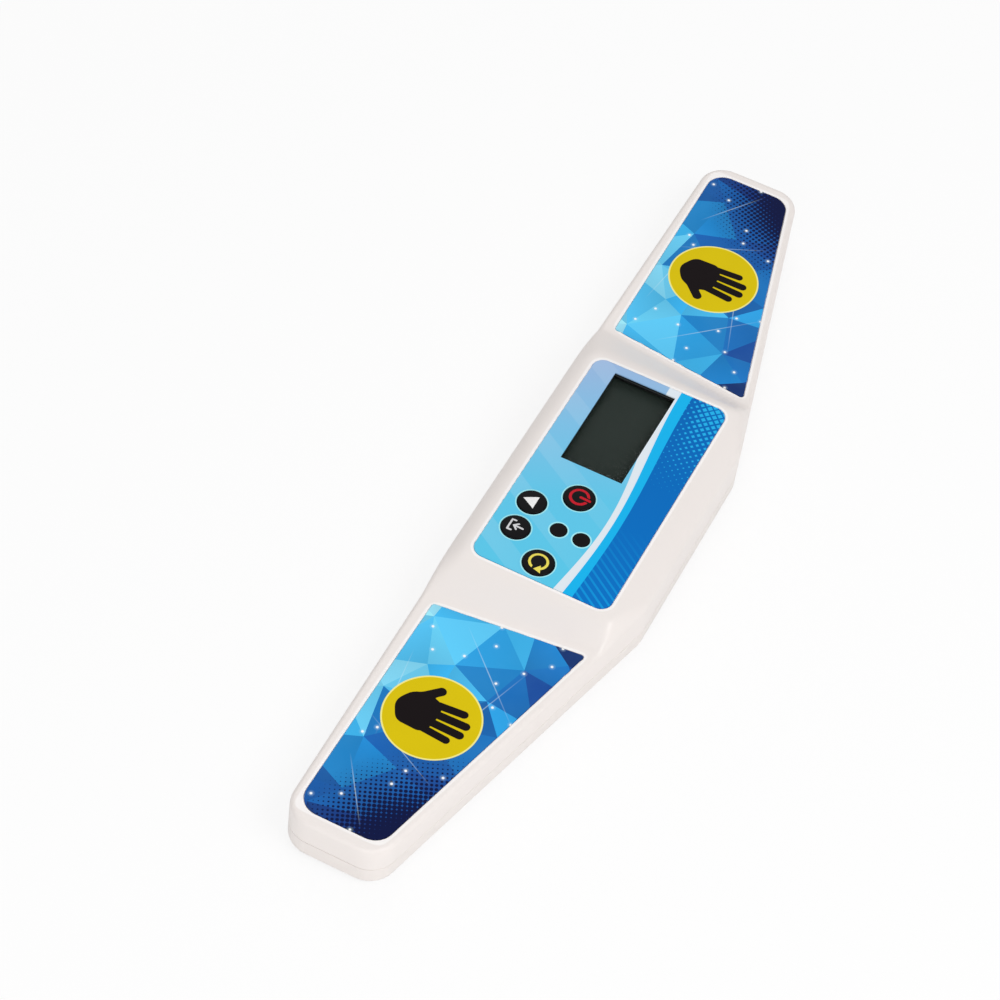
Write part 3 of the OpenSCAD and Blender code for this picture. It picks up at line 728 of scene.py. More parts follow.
# Rounded lip of each film's recess, the flat rim round it and the slant of its wall
LIP_ROUNDING = 0.22 * MM
RECESS_RIM = 0.3 * MM
RECESS_SLANT = 0.06 * MM
# Spacing of the points over the raised middle and their room from any edge, outside and inside, and the rim
# that is kept free of them inside
TOP_SPACING, TOP_ROOM = 0.8 * MM, 0.45 * MM
ROOF_SPACING, ROOF_ROOM = 2.5 * MM, 1.2 * MM
ROOF_RIM = 1.5 * MM
# Chamfer along the parting line
PARTING_CHAMFER = 0.25 * MM
# Hole for the data socket's nose: radius, height of its axis and depth of the cut
JACK_HOLE_RADIUS = 2.8 * MM
JACK_AXIS_HEIGHT = 10.3 * MM
JACK_CUT_DEPTH = 6 * MM


def edge_rings(loop_at, radius):
    """Rings of (loop, heights) up over the rounded top edge, inwards from the wall, and one past it."""
    rings = []
    for k in range(EDGE_STEPS + 1):
        turn = math.pi / 2 * k / EDGE_STEPS
        loop = loop_at(radius * (1 - math.cos(turn)))
        rings.append((loop, case_height(*loop.T) - radius * (1 - math.sin(turn))))
    loop = loop_at(radius + EDGE_RIM)
    rings.append((loop, case_height(*loop.T)))
    return rings


def recess_rings(loop_at, depth, gap):
    """Rings down into a film's recess, with its small rounded lip, from the outside inwards."""
    lip = LIP_ROUNDING
    rings = []
    for out, drop in ((lip + gap + RECESS_RIM, 0), (lip + gap, 0), (0.4 * lip + gap, 0.2 * lip), (gap, lip)):
        loop = loop_at(-out)
        rings.append((loop, case_height(*loop.T) - drop))
    rings.append((loop_at(RECESS_SLANT - gap), case_height(*loop_at(-gap).T) - depth))
    return rings


def film_loops():
    """Each film's loop as a function of the inset: the panel's and the right and the left pad's."""
    pad_corners, pad_radii = pad_outline()
    flipped = [(-x, y) for x, y in reversed(pad_corners)]
    panel_corners, panel_radii = panel_outline()
    return [
        lambda inset: rounded_loop(panel_corners, panel_radii, inset, 8, 3 * MM),
        lambda inset: rounded_loop(pad_corners, pad_radii, inset, 8, 6 * MM),
        lambda inset: rounded_loop(flipped, pad_radii[::-1], inset, 8, 6 * MM),
    ]


def filling_points(loops, spacing, clear):
    """Loose points over the raised middle, close enough together for its soft blends."""
    s = case_sizes()
    reach = s.ramp_near + s.foot_blend + 3 * MM
    return spread_points(loops, (-reach, -s.width / 2), (reach, s.width / 2), spacing, clear)


def build_case_top():
    """The case's upper shell: rounded edge, ramps, film recesses, holes, roof inside and parting line."""
    s, p = case_sizes(), panel_sizes()
    rings = edge_rings(case_loop, s.edge_radius)
    for loop_at in film_loops():
        rings += recess_rings(loop_at, p.film, p.film_gap)
    holes = panel_holes(p.bezel)
    rings += [(hole, s.pod_top - p.film) for hole in holes]
    spots = filling_points([loop for loop, _ in rings], TOP_SPACING, TOP_ROOM)
    spots = spots[within(case_loop(s.edge_radius + TOP_SPACING), spots)]
    heights = case_height(*spots.T)
    for loop_at in film_loops():
        heights = np.where(within(loop_at(0), spots), heights - p.film, heights)
    points, top, starts = skin(rings, holes, (spots, heights))
    hole_starts = starts[-len(holes):]

    def roof_height(places):
        return case_height(*places.T) - s.wall

    inner_loops = [case_loop(s.wall), case_loop(s.wall + ROOF_RIM)] + holes
    inner_spots = filling_points(inner_loops, ROOF_SPACING, ROOF_ROOM)
    inner_spots = inner_spots[within(case_loop(s.wall + ROOF_SPACING), inner_spots)]
    inner_rings = [(loop, roof_height(loop)) for loop in inner_loops]
    inner_points, roof, inner_starts = skin(inner_rings, holes, (inner_spots, roof_height(inner_spots)))
    base = len(points)
    faces = [tuple(f) for f in top] + [tuple(base + i for i in reversed(f)) for f in roof]
    for hole, outer, inner in zip(holes, hole_starts, inner_starts[-len(holes):]):
        faces += belt(outer, base + inner, len(hole))

    chamfer = PARTING_CHAMFER
    count = len(case_loop())
    levels = [(0.0, s.split + 1.5 * chamfer), (0.0, s.split + chamfer), (chamfer, s.split), (s.wall, s.split)]
    points = [points, inner_points]
    last, start = 0, base + len(inner_points)
    for inset, z in levels:
        points.append(np.column_stack([case_loop(inset), np.full(count, z)]))
        faces += belt(last, start, count)
        last, start = start, start + count
    faces += belt(last, base, count)
    piece = mesh_piece("case_top", np.concatenate(points), faces, 32)
    cut_jack_hole(piece)
    return piece


def cut_jack_hole(piece):
    """Opens the near wall for the data socket's nose."""
    low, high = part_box("data_socket")
    middle = Vector(((low.x + high.x) / 2, -case_sizes().width / 2, JACK_AXIS_HEIGHT))
    cutter_mesh = bpy.data.meshes.new("jack cutter")
    body = bmesh.new()
    lying = Matrix.Translation(middle) @ Matrix.Rotation(math.pi / 2, 4, "X")
    bmesh.ops.create_cone(
        body, cap_ends=True, segments=48, radius1=JACK_HOLE_RADIUS, radius2=JACK_HOLE_RADIUS,
        depth=JACK_CUT_DEPTH, matrix=lying)
    body.to_mesh(cutter_mesh)
    body.free()
    cutter = bpy.data.objects.new("jack cutter", cutter_mesh)
    bpy.context.scene.collection.objects.link(cutter)
    cut = piece.modifiers.new("jack hole", "BOOLEAN")
    cut.object = cutter
    cut.operation = "DIFFERENCE"
    cut.solver = "EXACT"
    baked(piece)
    bpy.data.objects.remove(cutter)
    bpy.data.meshes.remove(cutter_mesh)


# ---------------------------------------------------------------- finishes


def moulded_finish(name, colour, tint, roughness=0.34, grain=0.35, painted_light=None):
    """Injection-moulded plastic: a fine satin grain, a slight drift of colour and softly varied gloss."""
    f = Finish(name)
    broad = f.noise(30 * MM, 3)
    fine = f.noise(0.35 * MM, 2)
    shade = f.mix(broad * 0.5, colour, tint)
    # A given function paints light over the colour, such as a highlight along an edge
    if painted_light:
        shade = painted_light(f, shade)
    f.set(Base_Color=shade, Roughness=roughness + 0.10 * f.noise(6 * MM, 4) - 0.05)
    f.relief(fine * 0.7 + f.noise(2.5 * MM, 2) * 0.3, 0.02 * MM, grain)
    return f


# ---------------------------------------------------------------- shapes drawn in a material


def hypot(x, y):
    """Distance from the origin, from two wires."""
    return (x * x + y * y).calc("SQRT")


def bar(x, y, start, end, radius):
    """Signed distance to a round-ended bar between two points, in the units of x and y."""
    run = (end[0] - start[0], end[1] - start[1])
    square = run[0] ** 2 + run[1] ** 2
    share = (((x - start[0]) * run[0] + (y - start[1]) * run[1]) / square).clamped()
    return hypot(x - start[0] - share * run[0], y - start[1] - share * run[1]) - radius


def joined(shapes, softness=0.0):
    """The union of signed distances, with soft inner corners where a softness is given."""
    whole = shapes[0]
    for shape in shapes[1:]:
        whole = whole.calc("SMOOTH_MIN", shape, softness) if softness else whole.least(shape)
    return whole


def turned(x, y, degrees):
    """Coordinates in axes turned by an angle."""
    c, s = math.cos(math.radians(degrees)), math.sin(math.radians(degrees))
    return x * c + y * s, y * c - x * s


def half_plane(x, y, point, degrees):
    """Signed distance to the half plane behind a point, seen along a direction."""
    c, s = math.cos(math.radians(degrees)), math.sin(math.radians(degrees))
    return (x - point[0]) * c + (y - point[1]) * s


def rounded_box(x, y, half_x, half_y, radius):
    """Signed distance to a rectangle with rounded corners."""
    u = abs(x) - half_x + radius
    v = abs(y) - half_y + radius
    return hypot(u.most(0), v.most(0)) + u.most(v).least(0) - radius


def dot_grid(f, x, y, pitch, degrees, share):
    """Halftone: round dots on a turned grid, which grow with a share from 0 to 1."""
    u, v = turned(x / pitch, y / pitch, degrees)
    from_middle = hypot(u.calc("FRACT") - 0.5, v.calc("FRACT") - 0.5)
    return f.inside(from_middle - share * 0.72, 0.12) * (share * 20).clamped()


# The hand sign, drawn in millimetres from the middle of the disc and then scaled by HAND_SIZE: each finger
# from knuckle to tip, and its radius
FINGERS = (
    ((-4.5, -1), (-5.3, 7.4), 1.28),
    ((-1.55, -1), (-1.9, 9.6), 1.32),
    ((1.45, -1), (1.6, 9.4), 1.3),
    ((4.3, -1), (4.9, 6.8), 1.2),
)
THUMB = ((-4.6, -6.2), (-9.2, -1.6), 1.45)
PALM = (((-2.5, -6.4), (-2.7, -2.2), 3.5), ((2.4, -6.6), (2.6, -2.4), 3.3), ((-0.2, -6.9), (0, -3), 4.3))
HAND_SIZE = 0.94

# Pale streaks across the pad print, in millimetres on the right wing: start and end
STREAKS = (
    ((60, -12), (84, 13)),
    ((66, 9), (104, -3)),
    ((98, -22), (111, 3)),
    ((74, -21), (104, -17)),
    ((112, -20), (131, -7)),
)

# More of the pad print, in millimetres on the right wing: middle of the disc, and the corner that the
# halftone grows towards, with the reach of the growth and the stretch over which it comes in
DISC_MIDDLE = (91.6, -6.7)
DARK_CORNER = (138, 12)
DARK_REACH = 41
DARK_FADE = 24
HALFTONE_PITCH = 1.3
HALFTONE_TURN = 24
SPARK_PITCH = 11.5

# Share of the usual mirror light that the matt films give back
FILM_SHINE = 0.06

# Facets of a pad: their spacing and how far they reach past the film, how far a corner strays as a share
# of the spacing, how far a tint strays along the shades, and the seeds of the two
FACET_SPACING = 13.5 * MM
FACET_MARGIN = 9 * MM
CORNER_STRAY = 0.34
TINT_STRAY = 0.19
CORNER_SEED = 31
TINT_SEED = 12

# Colours of the pad facets, from the root of the wing to its tip
PAD_SHADES = (
    (0.00, (152, 222, 243)),
    (0.18, (108, 204, 240)),
    (0.34, (50, 169, 226)),
    (0.50, (24, 134, 204)),
    (0.66, (12, 98, 178)),
    (0.80, (12, 66, 148)),
    (1.00, (10, 34, 104)),
)


def shade_between(shades, share):
    """Colour at a share along a list of shades."""
    places = [place for place, _ in shades]
    tones = np.array([tone for _, tone in shades], float)
    return np.array([np.interp(share, places, tones[:, i]) for i in range(3)])


# Width of the painted highlight along the lip round each film, and the height above which it shows, in
# millimetres
LIP_HIGHLIGHT_WIDTH = 1.0
LIP_HIGHLIGHT_HEIGHT = 15


def painted_lip_highlight(f, shade):
    """The case colour with a painted highlight along the lip round the panel and round the two pads."""
    p = panel_sizes()
    x, y = f.flat_place()
    panel = rounded_box(
        x, y - p.panel_middle / MM, p.panel_length / 2 / MM, p.panel_width / 2 / MM, p.panel_radius / MM)
    corners, _ = pad_outline()
    insides = []
    for start, end in zip(corners, corners[1:] + corners[:1]):
        outwards = math.degrees(math.atan2(start[0] - end[0], end[1] - start[1]))
        insides.append(-half_plane(abs(x), y, start / MM, outwards))
    pad = -joined(insides, 5)
    _, _, height = f.place.xyz()
    on_top = ((height / MM - LIP_HIGHLIGHT_HEIGHT) * 2).clamped()
    # Painted highlight: a near-white band along the lips, only above the highlight height
    lip_highlight = f.inside(panel.least(pad) - LIP_HIGHLIGHT_WIDTH, 0.4) * on_top
    return f.mix(lip_highlight * 0.8, shade, srgb(252, 249, 248))


def film_print(f, colour):
    """A printed colour on a matt, faintly grained film."""
    f.set(Base_Color=colour, Roughness=0.40 + 0.10 * f.noise(12 * MM, 3), Specular_IOR_Level=FILM_SHINE)
    f.relief(f.noise(0.9 * MM, 2), 0.015 * MM, 0.25)
    return f


def with_streaks(f, x, y, colour):
    """The colour under pale streaks that fade towards their ends."""
    for start, end in STREAKS:
        run = math.dist(start, end)
        along = ((x - start[0]) * (end[0] - start[0]) + (y - start[1]) * (end[1] - start[1])) / run ** 2
        fade = (1 - abs(along * 2 - 1)).clamped()
        colour = f.mix(f.inside(bar(x, y, start, end, 0.09), 0.25) * fade * 0.65, colour, srgb(215, 240, 252))
    return colour


def with_sparks(f, x, y, colour):
    """The colour under loose points of light, each in a faint glow."""
    cells = {"Vector": f.vector(x, y), "Scale": 1 / SPARK_PITCH, "Randomness": 0.9}
    away = f.add("ShaderNodeTexVoronoi", {"voronoi_dimensions": "2D"}, cells).out("Distance") * SPARK_PITCH
    colour = f.mix((1 - away / 1.1).clamped() * 0.35, colour, srgb(200, 235, 252))
    return f.mix(f.inside(away - 0.36, 0.2), colour, (1, 1, 1))


def with_disc(f, x, y, colour):
    """The colour under the yellow touch disc with its pale rim and its hand sign."""
    disc_x, disc_y = x - DISC_MIDDLE[0], y - DISC_MIDDLE[1]
    from_rim = hypot(disc_x, disc_y) - panel_sizes().disc_radius / MM
    yellow = f.mix(f.noise(7 * MM, 3) * 0.35, tuple(colours().disc), srgb(206, 180, 4))
    colour = f.mix(f.inside(from_rim), colour, yellow)
    colour = f.mix(f.inside(abs(from_rim) - 0.22), colour, srgb(247, 238, 140))
    hand_x, hand_y = disc_x / HAND_SIZE, disc_y / HAND_SIZE
    fingers = [bar(hand_x, hand_y, *finger) for finger in FINGERS]
    palm = joined([bar(hand_x, hand_y, *part) for part in PALM + (THUMB,)], 1.4)
    return f.mix(f.inside(joined([palm] + fingers), 0.12), colour, srgb(20, 13, 15))


def pad_finish(side):
    """Printed hand pad: facets, a halftone at the tip, streaks and points of light, and the touch disc."""
    f = Finish("hand pad print right" if side > 0 else "hand pad print left")
    x, y = f.flat_place()
    x = x * side
    colour = f.add("ShaderNodeAttribute", {"attribute_name": "facet"}).out("Color")
    colour = f.mix(f.noise(9 * MM, 2) * 0.10, colour, srgb(120, 200, 240))
    corner = hypot(x - DARK_CORNER[0], (y - DARK_CORNER[1]) * 1.1)
    growth = ((DARK_REACH - corner) / DARK_FADE).clamped()
    colour = f.mix(growth * 0.6, colour, srgb(14, 50, 132))
    dots = dot_grid(f, x, y, HALFTONE_PITCH, HALFTONE_TURN, growth * 0.98)
    colour = f.mix(dots, colour, srgb(9, 20, 66))
    for drawn in (with_streaks, with_sparks, with_disc):
        colour = drawn(f, x, y, colour)
    return film_print(f, colour)


def facet_layout(low, high):
    """Corners and triangles of an irregular low-poly layout over a box, in metres."""
    dice = random.Random(CORNER_SEED)
    spots = []
    rows = math.ceil((high[1] - low[1]) / FACET_SPACING) + 1
    columns = math.ceil((high[0] - low[0]) / FACET_SPACING) + 1
    for j in range(rows):
        for i in range(columns):
            shift = 0.5 * (j % 2)
            x = low[0] + (i + shift + dice.uniform(-CORNER_STRAY, CORNER_STRAY)) * FACET_SPACING
            y = low[1] + (j + dice.uniform(-CORNER_STRAY, CORNER_STRAY)) * FACET_SPACING
            spots.append((x, y))
    made = delaunay_2d_cdt([Vector(s) for s in spots], [], [], 0, 1e-9)
    return np.array([tuple(v) for v in made[0]]), np.array(made[2])


def film_solid(name, flat, triangles, top, bottom):
    """A flat film from triangles over a plan: top, bottom and the edges between them."""
    count = len(flat)
    points = np.concatenate([np.column_stack([flat, np.full(count, z)]) for z in (top, bottom)])
    sides = {}
    for a, b, c in triangles:
        for edge in ((a, b), (b, c), (c, a)):
            if (edge[1], edge[0]) in sides:
                del sides[edge[1], edge[0]]
            else:
                sides[edge] = True
    faces = [tuple(t) for t in triangles] + [(count + c, count + b, count + a) for a, b, c in triangles]
    faces += [(b, a, count + a, count + b) for a, b in sides]
    used = sorted({i for face in faces for i in face})
    number = {old: new for new, old in enumerate(used)}
    return mesh_piece(name, points[used], [tuple(number[i] for i in face) for face in faces], 30)


def facet_tints(corners_of, low, span):
    """Each facet's colour, and how light each of its corners is."""
    dice = random.Random(TINT_SEED)
    tints = []
    for corners in corners_of:
        along, across = (corners.mean(axis=0) - low) / span
        share = 0.70 * along + 0.42 * across + dice.uniform(-TINT_STRAY, TINT_STRAY)
        # The far corner at the root is darker again
        share += 0.55 * max(0, across - 0.55) / 0.45 * max(0, 1 - along / 0.3)
        tints.append((shade_between(PAD_SHADES, share), [dice.uniform(0.93, 1.10) for _ in range(3)]))
    return tints


def paint_facets(piece, side, corners_of, tints):
    """Puts the facets' colours on a pad film's corners, shaded from corner to corner."""
    layer = piece.data.color_attributes.new("facet", "FLOAT_COLOR", "CORNER")
    for face in piece.data.polygons:
        facet = facet_at(corners_of, np.array(face.center[:2]) * (side, 1))
        shade, lights = tints[facet]
        for k in face.loop_indices:
            place = np.array(piece.data.vertices[piece.data.loops[k].vertex_index].co[:2]) * (side, 1)
            light = float(np.dot(shares_in(corners_of[facet], place), lights))
            layer.data[k].color = (*srgb(*np.clip(shade * light, 0, 255)), 1)


def build_hand_pad(side):
    """One printed pad film, cut along its facets: on the right wing for 1 and on the left one for -1."""
    s, p = case_sizes(), panel_sizes()
    loop = rounded_loop(*pad_outline())
    low, high = loop.min(axis=0), loop.max(axis=0)
    spots, facets = facet_layout(low - FACET_MARGIN, high + FACET_MARGIN)
    start = len(spots)
    edges = {tuple(sorted((int(f[i]), int(f[i - 1])))) for f in facets for i in range(3)}
    edges = list(edges) + [(start + k, start + (k + 1) % len(loop)) for k in range(len(loop))]
    made = delaunay_2d_cdt([Vector(v) for v in np.concatenate([spots, loop])], edges, [], 0, 1e-9)
    flat = np.array([tuple(v) for v in made[0]])
    triangles = np.array(made[2])
    triangles = triangles[within(loop, flat[triangles].mean(axis=1))]
    if side < 0:
        triangles = triangles[:, ::-1]
    end = "right" if side > 0 else "left"
    piece = film_solid(f"hand_pad_{end}", flat * (side, 1), triangles, s.wing_top, s.wing_top - p.film)
    paint_facets(piece, side, spots[facets], facet_tints(spots[facets], low, high - low))
    return placed(piece, "case", f"{end}_hand_pad", pad_finish(side))


def shares_in(corners, place):
    """Barycentric shares of a place in a triangle."""
    matrix = np.array([[*c, 1.0] for c in corners]).T
    return np.linalg.solve(matrix, np.array([*place, 1.0]))


def facet_at(corners_of, place):
    """Number of the facet that holds a place, or the nearest one."""
    a, b, c = corners_of[:, 0], corners_of[:, 1], corners_of[:, 2]
    worst = np.full(len(corners_of), np.inf)
    for start, end in ((a, b), (b, c), (c, a)):
        run = end - start
        worst = np.minimum(worst, cross(run.T, (place - start).T) / np.hypot(*run.T))
    return int(np.argmax(worst))


# The panel print, in millimetres: the wave's start and its length by a radian, and for each ribbon the
# place of its near edge and the swing of the wave in it
WAVE_START = -14
WAVE_RADIAN = 17
RIBBONS = ((3.9, 2.7), (6.6, 1.7), (9.4, 1.1))
STRIPE_PITCH, STRIPE_TURN = 15, -32
DIAMOND_PITCH, DIAMOND_TURN = 1.7, 45
LINE_PITCH, LINE_SLANT = 2.4, 0.7
# Colours of the sky, from the near left corner of the panel to the far right one
SKY = ((0.0, (158, 186, 226)), (0.3, (128, 196, 234)), (0.6, (98, 201, 236)), (1.0, (88, 202, 236)))
# Width of the pale ring round each key and round each light window, in millimetres
KEY_RING, LAMP_RING = 0.5, 0.4


def panel_finish():
    """Printed control panel: a sky gradient, waved ribbons, diamonds, slanted lines and pale rings."""
    p = panel_sizes()
    f = Finish("control panel print")
    x, y = f.flat_place()
    across = (x * MM / p.panel_length + 0.5).clamped()
    upward = ((y * MM - p.panel_middle) / p.panel_width + 0.5).clamped()
    sky = f.ramp((across * 0.85 + upward * 0.18).clamped(), SKY)
    slanted, _ = turned(x, y, STRIPE_TURN)
    stripe = f.inside(abs((slanted / STRIPE_PITCH).calc("FRACT") - 0.5) - 0.2, 0.02)
    colour = f.mix(stripe * 0.10 * (1 - upward), sky, srgb(222, 240, 250))

    wave = ((x - WAVE_START) / WAVE_RADIAN).calc("SINE")
    pale, bright, dark = [f.inside(-(y - near - wave * swing)) for near, swing in RIBBONS]
    colour = f.mix(pale, colour, srgb(226, 236, 244))
    colour = f.mix(bright, colour, srgb(20, 182, 240))
    deep = f.mix(across, srgb(0, 103, 185), srgb(0, 115, 199))
    growth = ((-4 - x) / 40).clamped() * ((y - 6) / 8).clamped()
    u, v = turned(x / DIAMOND_PITCH, y / DIAMOND_PITCH, DIAMOND_TURN)
    diamond = abs(u.calc("FRACT") - 0.5).most(abs(v.calc("FRACT") - 0.5))
    deep = f.mix(f.inside(diamond - growth * 0.42, 0.12) * (growth * 20).clamped(), deep, srgb(36, 180, 236))
    line = f.inside(abs(((x - y * LINE_SLANT) / LINE_PITCH).calc("FRACT") - 0.5) - 0.16, 0.06)
    deep = f.mix(line * ((x - 12) / 40).clamped() * 0.8, deep, srgb(14, 172, 236))
    colour = f.mix(dark, colour, deep)

    circles = [(*key, KEY_RING) for key in key_places().values()]
    circles += [(*lamp, p.lamp_radius, LAMP_RING) for lamp in lamp_places()]
    rings = [hypot(x - cx / MM, y - cy / MM) - radius / MM - ring for cx, cy, radius, ring in circles]
    return film_print(f, f.mix(f.inside(joined(rings), 0.15), colour, srgb(168, 238, 248)))


def build_panel_film():
    """The printed film on the raised middle, with its window and its holes."""
    s, p = case_sizes(), panel_sizes()
    corners, radii = panel_outline()
    holes = panel_holes()
    loop = rounded_loop(corners, radii, 0, 8, 4 * MM)
    nothing = (np.zeros((0, 2)), np.zeros(0))
    points, triangles, _ = skin([(loop, 0.0)] + [(hole, 0.0) for hole in holes], holes, nothing)
    piece = film_solid("panel_film", points[:, :2], triangles, s.pod_top, s.pod_top - p.film)
    return placed(piece, "case", "control_panel", panel_finish())


# ---------------------------------------------------------------- turned pieces, by rule, in Geometry Nodes

TURNED_TREE = "turned pieces"
# Stretches of a turned piece's profile: crown, rounding, side, flange, flange side and underside
PROFILE_STRETCHES = 6


def growing_tree(name, lengths, counts=(), angles=()):
    """A Geometry Nodes tree with named inputs for its sizes in millimetres, its counts and its angles."""
    tree = bpy.data.node_groups.new(name, "GeometryNodeTree")
    face = tree.interface
    face.new_socket("Geometry", in_out="INPUT", socket_type="NodeSocketGeometry")
    for label, size in lengths:
        socket = face.new_socket(label, in_out="INPUT", socket_type="NodeSocketFloat")
        socket.subtype = "DISTANCE"
        socket.default_value = size * MM
    for label, count in counts:
        face.new_socket(label, in_out="INPUT", socket_type="NodeSocketInt").default_value = count
    for label, angle in angles:
        socket = face.new_socket(label, in_out="INPUT", socket_type="NodeSocketFloat")
        socket.subtype = "ANGLE"
        socket.default_value = angle
    face.new_socket("Material", in_out="INPUT", socket_type="NodeSocketMaterial")
    face.new_socket("Geometry", in_out="OUTPUT", socket_type="NodeSocketGeometry")
    graph = Graph(tree)
    return tree, graph, graph.add("NodeGroupInput")


def put_on_points(g, given, piece, rotation):
    """Ends a tree: the piece on each input point, as real geometry with its material."""
    copies = g.add("GeometryNodeInstanceOnPoints", {}, {
        "Points": given.out("Geometry"), "Instance": piece, "Rotation": rotation})
    whole = g.add("GeometryNodeRealizeInstances", {}, {"Geometry": copies})
    finished = g.add("GeometryNodeSetMaterial", {}, {"Geometry": whole, "Material": given.out("Material")})
    g.add("NodeGroupOutput", {}, {"Geometry": finished})


def turned_tree():
    """A turned piece on each input point: crowned top with a rounded edge, side, flange and underside.
    A flange that reaches inwards makes a shank. Tilt turns the piece over. Several steps share the tree."""
    made = bpy.data.node_groups.get(TURNED_TREE)
    if made:
        return made
    tree, g, given = growing_tree(
        TURNED_TREE,
        (("Radius", 5), ("Height", 1.6), ("Rounding", 0.4), ("Crown", 0.1), ("Flange Reach", 0.45),
         ("Flange Height", 0.7)),
        (("Steps Round", 64), ("Steps per Stretch", 6)),
        (("Tilt", 0.0),))
    radius, height, rounding = given.out("Radius"), given.out("Height"), given.out("Rounding")
    crown, reach, flange = given.out("Crown"), given.out("Flange Reach"), given.out("Flange Height")
    grid = g.add("GeometryNodeMeshGrid", {}, {
        "Size X": PROFILE_STRETCHES, "Size Y": 1,
        "Vertices X": given.out("Steps per Stretch") * PROFILE_STRETCHES + 1,
        "Vertices Y": given.out("Steps Round") + 1})
    along, around, _ = g.add("GeometryNodeInputPosition").xyz()
    part = [(along + PROFILE_STRETCHES / 2 - i).clamped() for i in range(PROFILE_STRETCHES)]
    bend = part[1] * math.pi / 2
    out = ((radius - rounding) * part[0] + rounding * bend.calc("SINE")
           + reach * part[3] - (radius + reach) * part[5])
    up = (height - crown * part[0] * part[0] - rounding * (1 - bend.calc("COSINE"))
          - (height - crown - rounding - flange) * part[2] - flange * part[4])
    turn = (around + 0.5) * math.tau
    bent = g.add("GeometryNodeSetPosition", {}, {
        "Geometry": grid, "Position": g.vector(out * turn.calc("COSINE"), out * turn.calc("SINE"), up)})
    closed = g.add("GeometryNodeMergeByDistance", {}, {"Geometry": bent, "Distance": 0.001 * MM})
    put_on_points(g, given, closed, g.vector(given.out("Tilt"), 0))
    return tree


def screw_tree():
    """A screw on each input point, head down: a turned head and shank with a cross cut into the head."""
    tree, g, given = growing_tree(
        "screws", (("Head", 2.4), ("Head Height", 1.6), ("Shank", 1.05), ("Reach", 7), ("Slot", 0.55)))
    origin = g.add("GeometryNodePoints", {}, {"Count": 1, "Position": (0, 0, 0)})
    length = given.out("Head Height") + given.out("Reach")
    blank = g.add("GeometryNodeGroup", {"node_tree": turned_tree()}, {
        "Geometry": origin, "Radius": given.out("Head"), "Height": length,
        "Rounding": given.out("Head") * 0.3, "Crown": given.out("Head") * 0.1,
        "Flange Reach": given.out("Shank") - given.out("Head"), "Flange Height": given.out("Reach"),
        "Steps Round": 32, "Steps per Stretch": 3})
    slots = []
    for turn in (0.0, math.pi / 2):
        size = g.vector(given.out("Head") * 1.1, given.out("Slot"), given.out("Head Height") * 1.2)
        block = g.add("GeometryNodeMeshCube", {}, {"Size": size})
        slots.append(g.add("GeometryNodeTransform", {}, {
            "Geometry": block, "Translation": g.vector(0, 0, length), "Rotation": (0, 0, turn)}))
    both = g.add("GeometryNodeMeshBoolean", {"operation": "UNION", "solver": "EXACT"}, {"Mesh 2": slots})
    cut = g.add("GeometryNodeMeshBoolean", {"operation": "DIFFERENCE", "solver": "EXACT"}, {
        "Mesh 1": blank, "Mesh 2": both})
    put_on_points(g, given, cut, (math.pi, 0, 0))
    return tree


def spring_tree():
    """A conical coil spring on each input point, along the case and towards its middle."""
    tree, g, given = growing_tree(
        "battery springs", (("Wire", 0.6), ("Wide End", 4.05), ("Narrow End", 2.65), ("Length", 4.2)),
        (("Turns", 4),))
    line = g.add("GeometryNodeCurveSpiral", {}, {
        "Resolution": 32, "Rotations": given.out("Turns"), "Start Radius": given.out("Wide End"),
        "End Radius": given.out("Narrow End"), "Height": given.out("Length")})
    section = g.add("GeometryNodeCurvePrimitiveCircle", {"mode": "RADIUS"}, {
        "Resolution": 12, "Radius": given.out("Wire") / 2})
    coil = g.add("GeometryNodeCurveToMesh", {}, {"Curve": line, "Profile Curve": section, "Fill Caps": True})
    _, across, _ = g.add("GeometryNodeInputPosition").xyz()
    put_on_points(g, given, coil, g.vector(0, across.calc("SIGN") * (math.pi / 2)))
    return tree


def grown(name, points, tree, smooth_angle=40.0, **inputs):
    """A piece grown by a node tree on points in metres, turned into a plain mesh."""
    mesh = bpy.data.meshes.new(name)
    mesh.from_pydata([tuple(p) for p in points], [], [])
    piece = bpy.data.objects.new(name, mesh)
    bpy.context.scene.collection.objects.link(piece)
    grower = piece.modifiers.new(tree.name, "NODES")
    grower.node_group = tree
    sockets = {item.name: item.identifier for item in tree.interface.items_tree if item.in_out == "INPUT"}
    for key, value in inputs.items():
        grower[sockets[key.replace("_", " ")]] = value
    baked(piece)
    tidy_mesh(piece.data, smooth_angle)
    return piece


def turned_piece(name, node, body, slot, finish, plan, **inputs):
    """Turned copies on places seen from above, as high as the solid they stand for. They rise from its
    lowest point or, where a Tilt turns them over, hang from its highest."""
    low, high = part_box(node)
    foot = high.z if "Tilt" in inputs else low.z
    piece = grown(
        name, [(x, y, foot) for x, y in plan], turned_tree(), Height=high.z - low.z, Material=finish.material,
        **inputs)
    return placed(piece, body, node)


def sign_finish(name, x0, y0, draw):
    """Glossy black key with a printed sign, drawn in millimetres from the key's middle."""
    f = Finish(name)
    x, y = f.flat_place(x0, y0)
    sign, tint = draw(f, x, y)
    black = f.mix(f.noise(2 * MM, 3) * 0.5, tuple(colours().key), srgb(22, 22, 25))
    f.set(
        Base_Color=f.mix(sign, black, tint),
        Roughness=0.24 + 0.10 * f.noise(3 * MM, 3) + sign * 0.12,
        Specular_IOR_Level=0.06, Coat_Weight=0.02, Coat_Roughness=0.08)
    f.relief(f.noise(0.5 * MM, 2) * 0.6 + sign * 0.4, 0.02 * MM, 0.3)
    return f


def power_sign(f, x, y):
    """A ring with a gap, and a bar in the gap."""
    ring = abs(hypot(x, y) - 2.55) - 0.4
    gap = bar(x, y, (0, 1.2), (0, 4), 0.85)
    rod = bar(x, y, (0, 0.4), (0, 3.1), 0.4)
    return f.inside(joined([ring.most(-gap), rod])), srgb(196, 26, 42)


